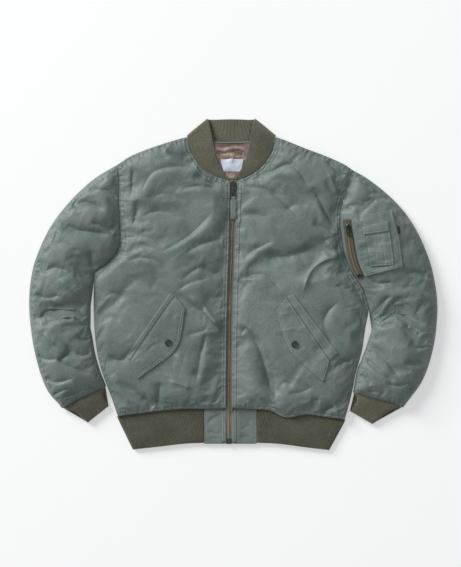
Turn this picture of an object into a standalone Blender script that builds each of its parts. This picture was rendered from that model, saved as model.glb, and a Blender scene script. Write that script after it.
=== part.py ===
"""Padded bomber jacket, zipped and laid flat on its back, arms at its sides.

The floor is z = 0 and the collar points to +Y, so the wearer's right side is at -X
and the wearer's left side at +X.  Tables and dimensions are in millimetres; the
last step scales to metres and moves the middle of the jacket over the origin.
"""
import math

import bmesh
import bpy
import numpy as np
from mathutils import Matrix, Vector
from mathutils.bvhtree import BVHTree

MM = 0.001

# ---- Layers, measured up from the floor -------------------------------------------------
GAP = 0.3                # clearance between pieces that touch
BACK_TOP = 9.0           # padded back panel lies on the floor, this thick
FRONT_FLOOR = 9.5        # the front panels lie on it
SEAM_LOW = 5.0           # a seam's under edge, where the padding is pinched
SEAM_TOP = 13.4          # a seam's upper edge
FRONT_CREST = 22.0       # padded front away from its seams
SLEEVE_CREST = 37.0      # padded sleeve away from its seams
ROLL = 14.0              # width over which an under edge rolls up from the floor
FRONT_RISE = 14.0        # length over which a front panel swells from a seam
SLEEVE_RISE = 20.0       # the same for a sleeve
SLIT_LOW = 9.0           # a sleeve's two walls part between these heights
SLIT_HIGH = 10.0
SLIT_SHARE = 0.9         # share of a tube's width that its slit takes

# ---- Ribbed knit --------------------------------------------------------------------------
RIB_THICK = 4.2          # the knit is doubled
RIB_GAP = GAP + 0.2      # its seams wander a little more than the shell's
RIB_CLEARANCE = 0.45     # between the two layers of the hem
HEM_BACK_Z = RIB_THICK / 2
HEM_FRONT_Z = HEM_BACK_Z + RIB_THICK + RIB_CLEARANCE
COLLAR_THICK = 4.0
CUFF_START_CREST = 16.0
CUFF_END_CREST = 9.6
CUFF_MIDDLE_Z = 5.0

# ---- Main zip -----------------------------------------------------------------------------
TAPE_HALF = 8.6          # half the width of tape that shows
FRONT_EDGE_HALF = 9.0    # half the opening between the two front panels
TAPE_THICK = 1.2
COIL_HALF = 2.5
COIL_HEIGHT = 2.2
SLIDER_WIDTH = 13.5
SLIDER_LENGTH = 17.0
SLIDER_THICK = 3.4
PULL_WIDTH = 12.5
PULL_LENGTH = 30.0
PULL_HALF_THICK = 0.8
PULL_SLOT_TOP = PULL_LENGTH - 5.9    # the ribbon's slot, from the hinge
PULL_SLOT_LOW = PULL_LENGTH - 2.9
RIBBON_WIDTH = 14.5
RIBBON_LENGTH = 46.0
RIBBON_NECK = 4.4        # half the ribbon's width where it passes the slot
BAIL_HALF_WIDTH = 1.8
BAIL_HOLE = 2.8          # half the length of the bail's hole
BAIL_LEG = 1.5
BAIL_HEIGHT = 2.8
BAIL_ROOF = 1.1
BAR_HALF = 0.9           # half the section of the pull's bar inside the bail
SLIDER_FRONT_Y = 209.5
MAIN_HINGE_Y = SLIDER_FRONT_Y + SLIDER_LENGTH / 2
STOP_Y = -340.5
STOP_LENGTH = 12.0
TAPE_LAST_Y = -352.0
RIB_TAPE_Z = 5.0         # the tape's height where it lies on the hem rib

# ---- Sleeve pocket zip ----------------------------------------------------------------------
SLEEVE_COIL_HALF = 2.0
SLEEVE_COIL_HEIGHT = 1.8
SLEEVE_PULL_LENGTH = 20.0
SLEEVE_PULL_WIDTH = 7.5
SLEEVE_BAIL_HOLE = 2.2
SMALL = 0.62             # the sleeve's slider against the main one
SLEEVE_LIFT = 0.3        # the tape's facets rise a little beside the slider

SNAP_RADIUS = 7.5

# ---- Outlines, seen from above: (x, y) ------------------------------------------------------
ZIP_LINE = (             # y, x of the zip's middle
    (228.0, -1.0), (97.0, -4.4), (-13.0, -8.0), (-123.0, -10.3), (-255.0, -11.4),
    (-362.0, -11.0),
)
HEM_Y = -273.0
NECK_Y = 228.0
RIGHT_NECK = ((-29, 231.5), (-48, 238.5), (-69, 252.5), (-88, 279), (-100, 302.5), (-102, 322.5))
LEFT_NECK = ((24, 232), (41, 241), (62, 256.5), (78.5, 278), (88.5, 298.5), (90, 322.5))
BACK_NECK = ((-102, 322.5), (-60, 314.5), (-6, 312), (48, 314.5), (90, 322.5))
RIGHT_SHOULDER = ((-102, 322.5), (-129, 316), (-184, 298), (-226, 281), (-257, 261))
LEFT_SHOULDER = ((90, 322.5), (111, 316), (155, 298), (201, 281), (241, 263), (260, 250))
RIGHT_ARMHOLE = ((-257, 261), (-252, 233), (-253, 185), (-250, 121), (-251, 84), (-266, 59),
                 (-288, 37), (-308, 25))
LEFT_ARMHOLE = ((260, 250), (251, 218), (238, 178), (233, 143), (238, 86), (249, 46), (268, 11),
                (286, -18), (297, -57))
RIGHT_SIDE = ((-308, 25), (-308, -20), (-308, -68), (-306, -106), (-301, -150), (-290, -194),
              (-273, -238), (-255, -290))
LEFT_SIDE = ((297, -57), (289, -90), (284, -123), (281, -150), (268, -191), (260, -233),
             (252, -266), (243, -297))
BACK_HEM = ((-255, -290), (-162, -278), (-113, -274), (-66, -274), (-10, -274), (50, -275),
            (86, -276), (150, -284), (198, -291), (243, -297))
RIGHT_FRONT_HEM = ((-66, -274), (-113, -274), (-162, -278), (-255, -290))
LEFT_FRONT_HEM = ((50, -275), (84, -276), (95, -288), (115, -294), (138, -291), (156, -285),
                  (198, -291), (243, -297))
HEM_BOTTOM = ((-219, -364), (-162, -358), (-113, -352), (-66, -350), (-10, -350), (50, -350),
              (99, -352), (167, -361), (206, -365))
RIGHT_TAB_X = -66.0
LEFT_TAB_X = 50.0
TAB_BOTTOM_Y = -352.0
TAB_DROP = 2.8           # a tab starts this far below the hem seam
TAB_ROWS = 7
TAB_EDGE = 3.0           # a tab's thickness at its edge
TAB_SWELL = 1.2          # and how much more it has this far in
TAB_ROLL = 4.0

RIGHT_SLEEVE_OUTER = ((-257, 261), (-311, 229), (-366, 176), (-406, 123), (-437, 53), (-449, -9),
                      (-449, -75), (-437, -155), (-413, -229), (-378, -273))
RIGHT_SLEEVE_INNER = ((-308, 25), (-311, -8), (-315, -40), (-318.5, -82), (-312, -118),
                      (-307, -150), (-296, -189), (-282, -225))
RIGHT_SLEEVE_HEM = ((-378, -273), (-331, -249), (-282, -225))
LEFT_SLEEVE_OUTER = ((260, 250), (298, 229), (360, 176), (399, 123), (430, 53), (445, -18),
                     (447, -70), (438, -141), (415, -211), (372, -271))
LEFT_SLEEVE_INNER = ((297, -57), (302.5, -72), (306.5, -88), (302, -108), (285, -156),
                     (273, -185), (265.5, -222), (263, -239))
LEFT_SLEEVE_HEM = ((372, -271), (345, -262), (310, -253), (263, -239))
RIGHT_CUFF_OUTER = ((-378, -273), (-362, -279), (-348, -283), (-323, -306))
RIGHT_CUFF_INNER = ((-282, -225), (-288, -240), (-287, -250), (-275, -268))
RIGHT_CUFF_END = ((-323, -306), (-275, -268))
LEFT_CUFF_OUTER = ((372, -271), (356, -275), (338, -282), (306, -309))
LEFT_CUFF_INNER = ((263, -239), (270, -252), (268, -262), (254, -279))
LEFT_CUFF_END = ((306, -309), (254, -279))

# ---- Collar: the free edge from the zip to the fold, then the fold and the back ------------
RIGHT_COLLAR_FREE = ((-12, 231), (-24, 246), (-35, 266), (-42, 287), (-45.5, 308.5), (-50.5, 335),
                     (-56, 361))
COLLAR_MIDDLE_X = -6.0
COLLAR_BACK_TOP = ((-56, 361), (-30, 362.5), (-6, 363), (18, 362.5), (44, 361))
COLLAR_SEAM_Z = 11.8
COLLAR_FOLD_Z = 8.0
COLLAR_FREE_Z = (        # share of the way from the zip to the fold, height of the free edge
    (0.0, 12.6), (0.15, 14.2), (0.7, 14.0), (0.88, 12.5), (1.0, COLLAR_FOLD_Z),
)
COLLAR_BACK_SEAM_Z = 5.0

# ---- Folds: rows of (height, width, points along the fold); a trough's height is negative --
RIGHT_FRONT_FOLDS = (
    (5.0, 15, ((-207, 196), (-178, 244), (-123, 257), (-81, 246))),
    (6.0, 17, ((-163, 68), (-97, 108), (-46, 158))),
    (4.5, 14, ((-235, 48), (-207, 57), (-174, 51), (-136, 26))),
    (4.0, 12, ((-112, 205), (-92, 213), (-30, 211))),
    (4.0, 13, ((-114, 64), (-64, 90), (-28, 99))),
    (4.5, 13, ((-101, -20), (-66, -58), (-31, -101))),
    (5.0, 15, ((-60, -97), (-62, -156), (-78, -222))),
    (-4.0, 12, ((-163, -211), (-165, -240), (-169, -268))),
    (-4.5, 13, ((-279, -158), (-246, -165), (-215, -140))),
    (-4.0, 16, ((-190, 150), (-130, 150), (-60, 185))),
)
LEFT_FRONT_FOLDS = (
    (5.0, 15, ((62, 235), (112, 262), (139, 251), (167, 207))),
    (4.0, 14, ((18, 213), (62, 211), (101, 185), (145, 141))),
    (5.5, 16, ((14, 48), (46, 75), (90, 97))),
    (4.5, 12, ((160, 132), (190, 126), (222, 112))),
    (5.5, 15, ((229, 57), (200, 53), (167, 26), (150, -24))),
    (4.5, 13, ((14, 13), (68, 18), (104, -14))),
    (-6.0, 13, ((34, -95), (50, -125), (66, -172), (84, -244))),
    (5.0, 18, ((64, -110), (92, -190), (112, -262))),
    (4.0, 13, ((226, -35), (200, -85), (222, -145))),
    (-4.0, 16, ((40, 35), (110, 55), (180, 80))),
)
RIGHT_SLEEVE_FOLDS = (
    (-11.0, 11, ((-442, -78), (-383, -54), (-315, -44))),
    (6.0, 12, ((-436, -98), (-383, -78), (-322, -68))),
    (-6.0, 14, ((-390, 122), (-330, 118), (-262, 108))),
    (5.0, 14, ((-383, 13), (-356, -8), (-328, -30))),
    (5.5, 15, ((-432, -112), (-387, -136), (-376, -172), (-308, -200))),
    (-5.0, 13, ((-322, 82), (-318, 55), (-316, 24))),
)
LEFT_SLEEVE_FOLDS = (
    (-12.0, 11, ((312, -84), (343, -66), (361, -54), (378, -81), (412, -121))),
    (6.0, 14, ((332, -50), (361, -28), (392, -62), (420, -90))),
    (5.5, 14, ((312, -104), (348, -92), (368, -104), (398, -134))),
    (5.0, 14, ((288, -166), (321, -194), (354, -216))),
    (-5.0, 16, ((310, -140), (340, -175), (372, -200))),
    (-5.0, 10, ((266, 228), (254, 196), (246, 172))),
)

# ---- Pocket flaps: edge by the opening, then the free edge ---------------------------------
RIGHT_FLAP_OPENING = ((-130, -26), (-228, -167))
RIGHT_FLAP_FREE = ((-107, -54), (-113, -92), (-118, -121), (-132, -149), (-172, -179), (-212, -208))
RIGHT_WELT_OUTER = ((-140, -19), (-238, -160))
RIGHT_SNAP = (-144, -129)
LEFT_FLAP_OPENING = ((114, -29), (209, -168))
LEFT_FLAP_FREE = ((92, -57), (98, -82), (105, -105), (123, -148), (158, -182), (195, -215))
LEFT_WELT_OUTER = ((130, -22), (228, -152))
LEFT_SNAP = (133, -132)
FLAP_THICK = 2.4
FLAP_LIFT = 0.6          # keeps a flap's wide facets off the panel's creases
WELT_THICK = 1.8

# ---- Pocket on the wearer's left sleeve ------------------------------------------------------
SLEEVE_TAPE_LEFT = ((238.5, 141), (245, 85), (254, 45), (268.5, 12))
SLEEVE_TAPE_RIGHT = ((254, 143), (262, 88), (270, 48), (284, 17))
SLEEVE_PATCH_LEFT = ((256.5, 144), (264.5, 88), (272.5, 48), (286.5, 16))
SLEEVE_PATCH_RIGHT = ((345, 165), (353, 130), (362, 97), (369, 37))
PEN_PATCH_LEFT = ((287, 116), (297, 38))
PEN_PATCH_RIGHT = ((339, 122), (350, 42))
PEN_BAND_UPPER = ((279, 125), (337, 140))
PEN_BAND_LOWER = ((282, 108), (338, 116))
SLEEVE_LABEL_LEFT = ((357, 127), (358.5, 110))
SLEEVE_LABEL_RIGHT = ((363, 127), (364.5, 110))
SLEEVE_ZIP_START = 0.12  # where the slider stands along the sleeve zip
PATCH_THICK = 1.6

# ---- Inside the neck ---------------------------------------------------------------------------
LINING_RIGHT = ((-48, 309), (-44, 289), (-37, 268), (-27, 248), (-17, 231))
LINING_FOLDS = (
    (1.2, 6, ((-40, 296), (-5, 300), (30, 294))),
    (1.0, 5, ((-36, 281), (-8, 284), (26, 280))),
)
LABEL_TOP = ((-29.5, 275), (20.5, 275))
LABEL_BOTTOM = ((-23, 247.5), (15.5, 247.5))
WIND_FLAP_TOP = ((-19, 245), (7, 245))
WIND_FLAP_BOTTOM = ((-10, 232.5), (-2, 232.5))

# ---- Colours: name, sRGB, roughness, metallic --------------------------------------------------
FINISHES = {
    "shell_nylon": ((109, 119, 112), 0.42, 0.0),
    "rib_knit": ((84, 85, 72), 0.95, 0.0),
    "lining_nylon": ((138, 121, 104), 0.45, 0.0),
    "zip_tape": ((92, 90, 72), 0.85, 0.0),
    "gunmetal": ((58, 62, 60), 0.38, 1.0),
    "label_cloth": ((214, 220, 238), 0.8, 0.0),
}


# ---- Curves and grids ----------------------------------------------------------------------
def smooth_curve(points, per_span=14):
    """Points along a Catmull-Rom curve through the given ones."""
    pts = np.array(points, float)
    if len(pts) < 3:
        return pts
    ends = np.vstack((2 * pts[0] - pts[1], pts, 2 * pts[-1] - pts[-2]))
    t = np.linspace(0, 1, per_span, endpoint=False)[:, None]
    spans = []
    for p0, p1, p2, p3 in zip(ends, ends[1:], ends[2:], ends[3:]):
        spans.append(0.5 * (2 * p1 + (p2 - p0) * t + (2 * p0 - 5 * p1 + 4 * p2 - p3) * t**2
                            + (3 * p1 - p0 - 3 * p2 + p3) * t**3))
    return np.vstack(spans + [pts[-1:]])


def at_fractions(points, fractions):
    """Read a curve through the points at fractions of its length."""
    curve = smooth_curve(points)
    length = np.concatenate(([0.0], np.cumsum(np.linalg.norm(np.diff(curve, axis=0), axis=1))))
    place = np.array(fractions) * length[-1]
    return np.stack([np.interp(place, length, curve[:, i]) for i in range(curve.shape[1])], 1)


def even(count):
    return np.linspace(0, 1, count + 1)


def at_height(points, z):
    """Lift points in plan to one height."""
    return np.column_stack((points, np.full(len(points), z)))


def eased(count, start=True, end=True, strength=0.75):
    """Fractions that crowd towards the chosen ends, where a panel rounds over."""
    t = even(count)
    curve = t
    if start and end:
        curve = 0.5 - 0.5 * np.cos(math.pi * t)
    elif start:
        curve = 1 - np.cos(math.pi * t / 2)
    elif end:
        curve = np.sin(math.pi * t / 2)
    return (1 - strength) * t + strength * curve


def joined(*curves):
    """Chain sampled curves end to end, keeping each shared corner once."""
    return np.vstack([curves[0]] + [curve[1:] for curve in curves[1:]])


def across(side_a, side_b, start, end):
    """Grid between two long sides, its first and last rows following start and end."""
    rows, columns = len(side_a), len(start)
    u = even(rows - 1)[:, None, None]
    along = np.concatenate(([0.0], np.cumsum(np.linalg.norm(np.diff(start, axis=0), axis=1))))
    v = (along / along[-1])[None, :, None]
    ruled = (1 - v) * side_a[:, None] + v * side_b[:, None]
    cross = (1 - u) * start[None] + u * end[None]
    corners = ((1 - u) * ((1 - v) * start[0] + v * start[-1])
               + u * ((1 - v) * end[0] + v * end[-1]))
    return (ruled + cross - corners).reshape(rows, columns, 2)


def rim(grid):
    """The grid's outline as one closed loop."""
    return np.vstack((grid[0, :-1], grid[:-1, -1], grid[-1, :0:-1], grid[:0:-1, 0]))


def distance_to(points, chain, closed=False):
    """Shortest distance in plan from each point to a chain of segments."""
    a = chain if closed else chain[:-1]
    b = np.roll(chain, -1, axis=0) if closed else chain[1:]
    flat = points.reshape(-1, 2)
    span = b - a
    size = np.maximum((span**2).sum(1), 1e-9)
    t = ((flat[:, None] - a) * span).sum(2) / size
    near = a + np.clip(t, 0, 1)[..., None] * span
    gap = np.linalg.norm(flat[:, None] - near, axis=2)
    best = gap.argmin(1)
    place = (best + np.clip(t[np.arange(len(flat)), best], 0, 1)) / len(a)
    shape = points.shape[:-1]
    return gap.min(1).reshape(shape), place.reshape(shape)


def relief(grid, folds):
    """Height that soft folds add; each one dies out towards both of its ends."""
    total = np.zeros(grid.shape[:-1])
    for height, width, line in folds:
        gap, place = distance_to(grid, at_fractions(line, even(10)))
        total += height * np.exp(-(gap / width) ** 2) * np.sin(math.pi * (0.12 + 0.76 * place))
    return total


# ---- Solids --------------------------------------------------------------------------------
def finish(name):
    material = bpy.data.materials.get(name)
    if material:
        return material
    colour, roughness, metallic = FINISHES[name]
    linear = [(c / 255 / 12.92) if c < 10.3 else ((c / 255 + 0.055) / 1.055) ** 2.4
              for c in colour]
    material = bpy.data.materials.new(name)
    material.use_nodes = True
    surface = material.node_tree.nodes["Principled BSDF"]
    surface.inputs["Base Color"].default_value = (*linear, 1)
    surface.inputs["Roughness"].default_value = roughness
    surface.inputs["Metallic"].default_value = metallic
    material.diffuse_color = (*linear, 1)
    return material


def make_object(name, bm, finish_name, smooth=True):
    """Settle how bent faces are split, face them all outwards and link one named object."""
    bmesh.ops.triangulate(bm, faces=[face for face in bm.faces if len(face.verts) == 4])
    bmesh.ops.recalc_face_normals(bm, faces=bm.faces)
    mesh = bpy.data.meshes.new(name)
    bm.to_mesh(mesh)
    bm.free()
    if smooth:
        mesh.shade_smooth()
        mesh.set_sharp_from_angle(angle=math.radians(40))
    mesh.materials.append(finish(finish_name))
    obj = bpy.data.objects.new(name, mesh)
    bpy.context.collection.objects.link(obj)
    return obj


def with_height(grid, height):
    return np.dstack((grid, np.broadcast_to(height, grid.shape[:-1])))


def add_points(bm, points):
    return [bm.verts.new(p) for p in np.asarray(points).reshape(-1, 3)]


def merge_level(bm, height):
    """Join the small faces that lie flat at one height into a single face."""
    flat = [face for face in bm.faces if all(abs(v.co.z - height) < 1e-6 for v in face.verts)]
    if len(flat) > 1:
        bmesh.ops.dissolve_faces(bm, faces=flat, use_verts=False)
        loose = [vert for vert in bm.verts if not vert.link_faces]
        bmesh.ops.delete(bm, geom=loose, context="VERTS")


def quilt(bm, verts, rows, columns):
    """Faces over a grid of points."""
    for i in range(rows - 1):
        for j in range(columns - 1):
            k = i * columns + j
            bm.faces.new((verts[k], verts[k + 1], verts[k + columns + 1], verts[k + columns]))


def plate(name, top, bottom, finish_name, levels=()):
    """Closed wall between an upper and a lower grid of the same size."""
    rows, columns = top.shape[:2]
    bm = bmesh.new()
    upper = add_points(bm, top)
    lower = add_points(bm, bottom)
    quilt(bm, upper, rows, columns)
    quilt(bm, lower, rows, columns)
    order = rim(np.arange(rows * columns).reshape(rows, columns, 1)).ravel()
    for a, b in zip(order, np.roll(order, -1)):
        bm.faces.new((upper[a], upper[b], lower[b], lower[a]))
    for level in levels:
        merge_level(bm, level)
    return make_object(name, bm, finish_name)


def ring_faces(bm, ring_a, ring_b):
    for k in range(len(ring_a)):
        n = (k + 1) % len(ring_a)
        bm.faces.new((ring_a[k], ring_a[n], ring_b[n], ring_b[k]))


def tube(name, top, bottom, finish_name, inner_every, slit=(SLIT_LOW, SLIT_HIGH)):
    """Flattened tube: an outer skin, and a flat slit that runs right through it."""
    rows, columns = top.shape[:2]
    bm = bmesh.new()
    outer = [add_points(bm, np.vstack((top[i], bottom[i, -2:0:-1]))) for i in range(rows)]
    share = 0.5 + (even(columns - 1) - 0.5) * SLIT_SHARE
    inner = []
    for i in sorted({*range(0, rows, inner_every), rows - 1}):
        line = np.stack([np.interp(share, even(columns - 1), top[i, :, k]) for k in (0, 1)], 1)
        high = np.column_stack((line, np.full(columns, slit[1])))
        low = np.column_stack((line, np.full(columns, slit[0])))
        high[0, 2] = high[-1, 2] = (slit[0] + slit[1]) / 2
        inner.append(add_points(bm, np.vstack((high, low[-2:0:-1]))))
    for rings in (outer, inner):
        for ring_a, ring_b in zip(rings, rings[1:]):
            ring_faces(bm, ring_a, ring_b)
    ring_faces(bm, outer[0], inner[0])
    ring_faces(bm, outer[-1], inner[-1])
    for level in (0.0, *slit):
        merge_level(bm, level)
    return make_object(name, bm, finish_name)


def ribbon(name, seam, free, thickness, finish_name):
    """Thick ribbon through stations that run from a seam point to a free-edge point."""
    seam, free = np.array(seam), np.array(free)
    middle = (seam + free) / 2
    run = np.gradient(middle, axis=0)
    bm = bmesh.new()
    rings = []
    for s, f, tangent in zip(seam, free, run):
        width = np.linalg.norm(f - s)
        reach = (f - s) / width
        out = np.cross(reach, tangent)
        out /= np.linalg.norm(out)
        inset = min(2.0, width * 0.3) / width
        half = ((0.0, 0.28), (inset, 0.5), (0.5, 0.5), (1 - inset, 0.5), (1.0, 0.28))
        ring = [s + (f - s) * a + out * h * thickness for a, h in half]
        ring += [s + (f - s) * a - out * h * thickness for a, h in half[::-1]]
        rings.append(add_points(bm, ring))
    for ring_a, ring_b in zip(rings, rings[1:]):
        ring_faces(bm, ring_a, ring_b)
    bm.faces.new(rings[0])
    bm.faces.new(rings[-1])
    return make_object(name, bm, finish_name)


def fold_over(point, outward, z_from, z_to):
    """Three places round a fold that stands on its side."""
    radius = (z_from - z_to) / 2
    middle = (z_from + z_to) / 2
    turns = [math.radians(angle) for angle in (40, 90, 140)]
    return [(*(np.array(point) + outward * radius * math.sin(turn)),
             middle + radius * math.cos(turn)) for turn in turns]


def outward_of(a, b, inside):
    """Level unit vector square to the line a-b, pointing away from a point inside."""
    along = np.array(b, float) - a
    normal = np.array((-along[1], along[0])) / np.linalg.norm(along)
    return normal if np.dot(normal, np.array(a) - inside) > 0 else -normal


# ---- Laying one piece on another --------------------------------------------------------------
def surface_of(*objects):
    """Search trees of the pieces, for reading how high they lie."""
    return [BVHTree.FromPolygons([v.co[:] for v in o.data.vertices],
                                 [p.vertices[:] for p in o.data.polygons]) for o in objects]


def height_over(trees, x, y, reach):
    """Highest surface at and round a point."""
    best = 0.0
    turns = np.linspace(0, 2 * math.pi, 8, endpoint=False)
    spots = [(0.0, 0.0)] + [(r * math.cos(a), r * math.sin(a))
                            for r in (reach / 2, reach) for a in turns]
    for tree in trees:
        for dx, dy in spots:
            hit = tree.ray_cast(Vector((x + dx, y + dy, 200.0)), Vector((0, 0, -1)))[0]
            if hit:
                best = max(best, hit.z)
    return best


def lay_on(trees, grid, reach):
    return np.array([[height_over(trees, x, y, reach) for x, y in row] for row in grid])


def patch(name, grid, trees, thickness, finish_name, reach=5.0, folds=(), lift=GAP):
    """Cloth laid on what is below it, thinner round its edge."""
    low = lay_on(trees, grid, reach) + lift
    gap, _ = distance_to(grid, rim(grid), closed=True)
    thick = thickness * (0.6 + 0.4 * np.minimum(gap / 5.0, 1.0)) + relief(grid, folds)
    return plate(name, with_height(grid, low + thick), with_height(grid, low), finish_name)


def ruled(side_a, side_b, rows, columns):
    """Grid of straight lines from one edge to another."""
    a, b = at_fractions(side_a, even(rows)), at_fractions(side_b, even(rows))
    v = even(columns)[None, :, None]
    return (1 - v) * a[:, None] + v * b[:, None]


# ---- The body -----------------------------------------------------------------------------------
SIDE_STEPS = eased(12, end=False)
ARMHOLE_SPLIT = 0.67     # a sleeve's open end takes this share of the armhole from the shoulder
SLEEVE_COLUMNS = eased(13)
ARMHOLE_STEPS = np.concatenate((SLEEVE_COLUMNS * ARMHOLE_SPLIT,
                                ARMHOLE_SPLIT + (1 - ARMHOLE_SPLIT) * even(8)[1:]))
FRONT_EDGE_STEPS = eased(25, end=False)
NECK_STEPS = eased(8, start=False, strength=0.3)
BACK_NECK_STEPS = even(10)
SHOULDER_STEPS = eased(7, start=False)
FRONT_COLUMNS = eased(17)
SLEEVE_FAN = 0.45        # share of the outer edge that fans out from the armhole
SLEEVE_OUTER_ROWS = np.concatenate((
    eased(8, end=False, strength=0.4) * SLEEVE_FAN,
    SLEEVE_FAN + (1 - SLEEVE_FAN) * eased(20, start=False, strength=0.5)[1:]))
SLEEVE_INNER_ROWS = eased(20, start=False, strength=0.5)
CUFF_ROWS = even(7)
SLEEVE_GAP = (0.4, 0.2)


def swell(grid, crest, rise, folds):
    """Upper surface: pinched at the grid's rim, full inside, with its folds."""
    gap, _ = distance_to(grid, rim(grid), closed=True)
    puff = (crest - SEAM_TOP) * (1 - np.exp(-gap / rise))
    return SEAM_TOP + puff + relief(grid, folds) * np.minimum(gap / ROLL, 1.0)


def underside(grid):
    """Under surface: flat on the floor, rolled up at the grid's rim."""
    gap, _ = distance_to(grid, rim(grid), closed=True)
    return SEAM_LOW * np.maximum(0.0, 1 - gap / ROLL) ** 2


def zip_x(y):
    line = at_fractions(ZIP_LINE, even(60))
    return np.interp(-np.asarray(y, float), -line[:, 0], line[:, 1])


def zip_edge(side, half):
    """The zip's middle line moved sideways, from the hem up to the neck."""
    y = np.linspace(HEM_Y, NECK_Y, 9)
    return np.column_stack((zip_x(y) + side * half, y))


def neck_seam(side):
    start = zip_edge(side, FRONT_EDGE_HALF)[-1]
    return at_fractions((tuple(start), *(RIGHT_NECK if side < 0 else LEFT_NECK)), NECK_STEPS)


def flank(side):
    """A side seam from the hem to the underarm, then the armhole up to the shoulder."""
    seam, armhole = (RIGHT_SIDE, RIGHT_ARMHOLE) if side < 0 else (LEFT_SIDE, LEFT_ARMHOLE)
    return joined(at_fractions(seam[::-1], SIDE_STEPS),
                  at_fractions(armhole, ARMHOLE_STEPS)[::-1])


def make_front(name, side, hem, shoulder, folds):
    edge = at_fractions(zip_edge(side, FRONT_EDGE_HALF), FRONT_EDGE_STEPS)
    inner = joined(edge, neck_seam(side))
    start = at_fractions((tuple(edge[0]), *hem), FRONT_COLUMNS)
    grid = across(inner, flank(side), start, at_fractions(shoulder, FRONT_COLUMNS))
    top = swell(grid, FRONT_CREST, FRONT_RISE, folds)
    return plate(name, with_height(grid, top), with_height(grid, FRONT_FLOOR), "shell_nylon",
                 (FRONT_FLOOR,))


def back_top_edge():
    right = at_fractions(RIGHT_SHOULDER[::-1], 1 - SHOULDER_STEPS[::-1])
    left = at_fractions(LEFT_SHOULDER, SHOULDER_STEPS)
    return joined(right, at_fractions(BACK_NECK, BACK_NECK_STEPS), left)


def back_hem():
    """Hem seam of the back, with a point below each point of its top edge."""
    return at_fractions(BACK_HEM, eased(len(back_top_edge()) - 1))


def make_back():
    grid = across(flank(-1), flank(1), back_hem(), back_top_edge())
    return plate("back_panel", with_height(grid, BACK_TOP), with_height(grid, underside(grid)),
                 "shell_nylon", (BACK_TOP, 0.0))


# ---- Sleeves and cuffs -------------------------------------------------------------------------
def make_sleeve(name, side, armhole, outer, inner, hem, folds):
    """The tube opens on the upper armhole; below that its side lies along the seam."""
    seam = at_fractions(armhole, ARMHOLE_STEPS) + (side * SLEEVE_GAP[0], SLEEVE_GAP[1])
    start, tail = seam[:len(SLEEVE_COLUMNS)], seam[len(SLEEVE_COLUMNS) - 1:]
    end = at_fractions(hem, SLEEVE_COLUMNS)
    outer_edge = at_fractions((tuple(start[0]), *outer[1:]), SLEEVE_OUTER_ROWS)
    inner_edge = at_fractions((tuple(tail[-1]), *inner[1:]), SLEEVE_INNER_ROWS)
    grid = across(outer_edge, joined(tail, inner_edge), start, end)
    top = swell(grid, SLEEVE_CREST, SLEEVE_RISE, folds)
    top[:, 0] = top[:, -1] = (SLIT_LOW + SLIT_HIGH) / 2
    return tube(name, with_height(grid, top), with_height(grid, underside(grid)),
                "shell_nylon", 4)


def make_cuff(name, outer, inner, end_line, hem, away):
    start = at_fractions(hem, SLEEVE_COLUMNS) + np.array(away)
    end = at_fractions(end_line, SLEEVE_COLUMNS)
    outer_edge = at_fractions((tuple(start[0]), *outer[1:]), CUFF_ROWS)
    inner_edge = at_fractions((tuple(start[-1]), *inner[1:]), CUFF_ROWS)
    grid = across(outer_edge, inner_edge, start, end)
    gap = distance_to(grid, grid[:, 0])[0]
    gap = np.minimum(gap, distance_to(grid, grid[:, -1])[0])
    crest = np.interp(CUFF_ROWS, (0.0, 0.35, 1.0), (SEAM_TOP, CUFF_START_CREST, CUFF_END_CREST))
    round_over = np.sqrt(1 - (1 - np.minimum(gap / RIB_THICK, 1.0)) ** 2)
    top = CUFF_MIDDLE_Z + (crest[:, None] - CUFF_MIDDLE_Z) * round_over
    low = CUFF_MIDDLE_Z * (1 - round_over)
    slit = (CUFF_MIDDLE_Z - GAP, CUFF_MIDDLE_Z + GAP)
    return tube(name, with_height(grid, top), with_height(grid, low), "rib_knit", 7, slit)


# ---- Ribbed collar and hem ----------------------------------------------------------------------
def towards(points, targets, distance):
    step = targets - points
    return points + distance * step / np.linalg.norm(step, axis=1)[:, None]


def collar_front(side):
    """Seam and free points from the zip to the fold at the shoulder."""
    free = at_fractions(RIGHT_COLLAR_FREE, NECK_STEPS)
    if side > 0:
        free[:, 0] = 2 * COLLAR_MIDDLE_X - free[:, 0]
    seam = towards(neck_seam(side), free, GAP + 0.5)
    free_z = np.interp(NECK_STEPS, *zip(*COLLAR_FREE_Z))
    return (np.column_stack((seam, np.full(len(seam), COLLAR_SEAM_Z))),
            np.column_stack((free, free_z)))


def make_collar():
    parts = [collar_front(-1)]
    back_free = at_fractions(COLLAR_BACK_TOP, BACK_NECK_STEPS)
    back_seam = towards(at_fractions(BACK_NECK, BACK_NECK_STEPS), back_free, RIB_GAP)
    inside = np.array((COLLAR_MIDDLE_X, 200.0))
    folds = []
    for k in (0, -1):
        out = outward_of(back_seam[k], back_free[k], inside)
        folds.append((fold_over(back_seam[k], out, COLLAR_SEAM_Z, COLLAR_BACK_SEAM_Z),
                      fold_over(back_free[k], out, COLLAR_FOLD_Z, COLLAR_THICK / 2)))
    parts.append(folds[0])
    parts.append((at_height(back_seam, COLLAR_BACK_SEAM_Z)[1:-1],
                  at_height(back_free, COLLAR_THICK / 2)[1:-1]))
    parts.append([side[::-1] for side in folds[1]])
    parts.append([side[::-1] for side in collar_front(1)])
    return ribbon("collar_rib", np.vstack([p[0] for p in parts]), np.vstack([p[1] for p in parts]),
                  COLLAR_THICK, "rib_knit")


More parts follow.
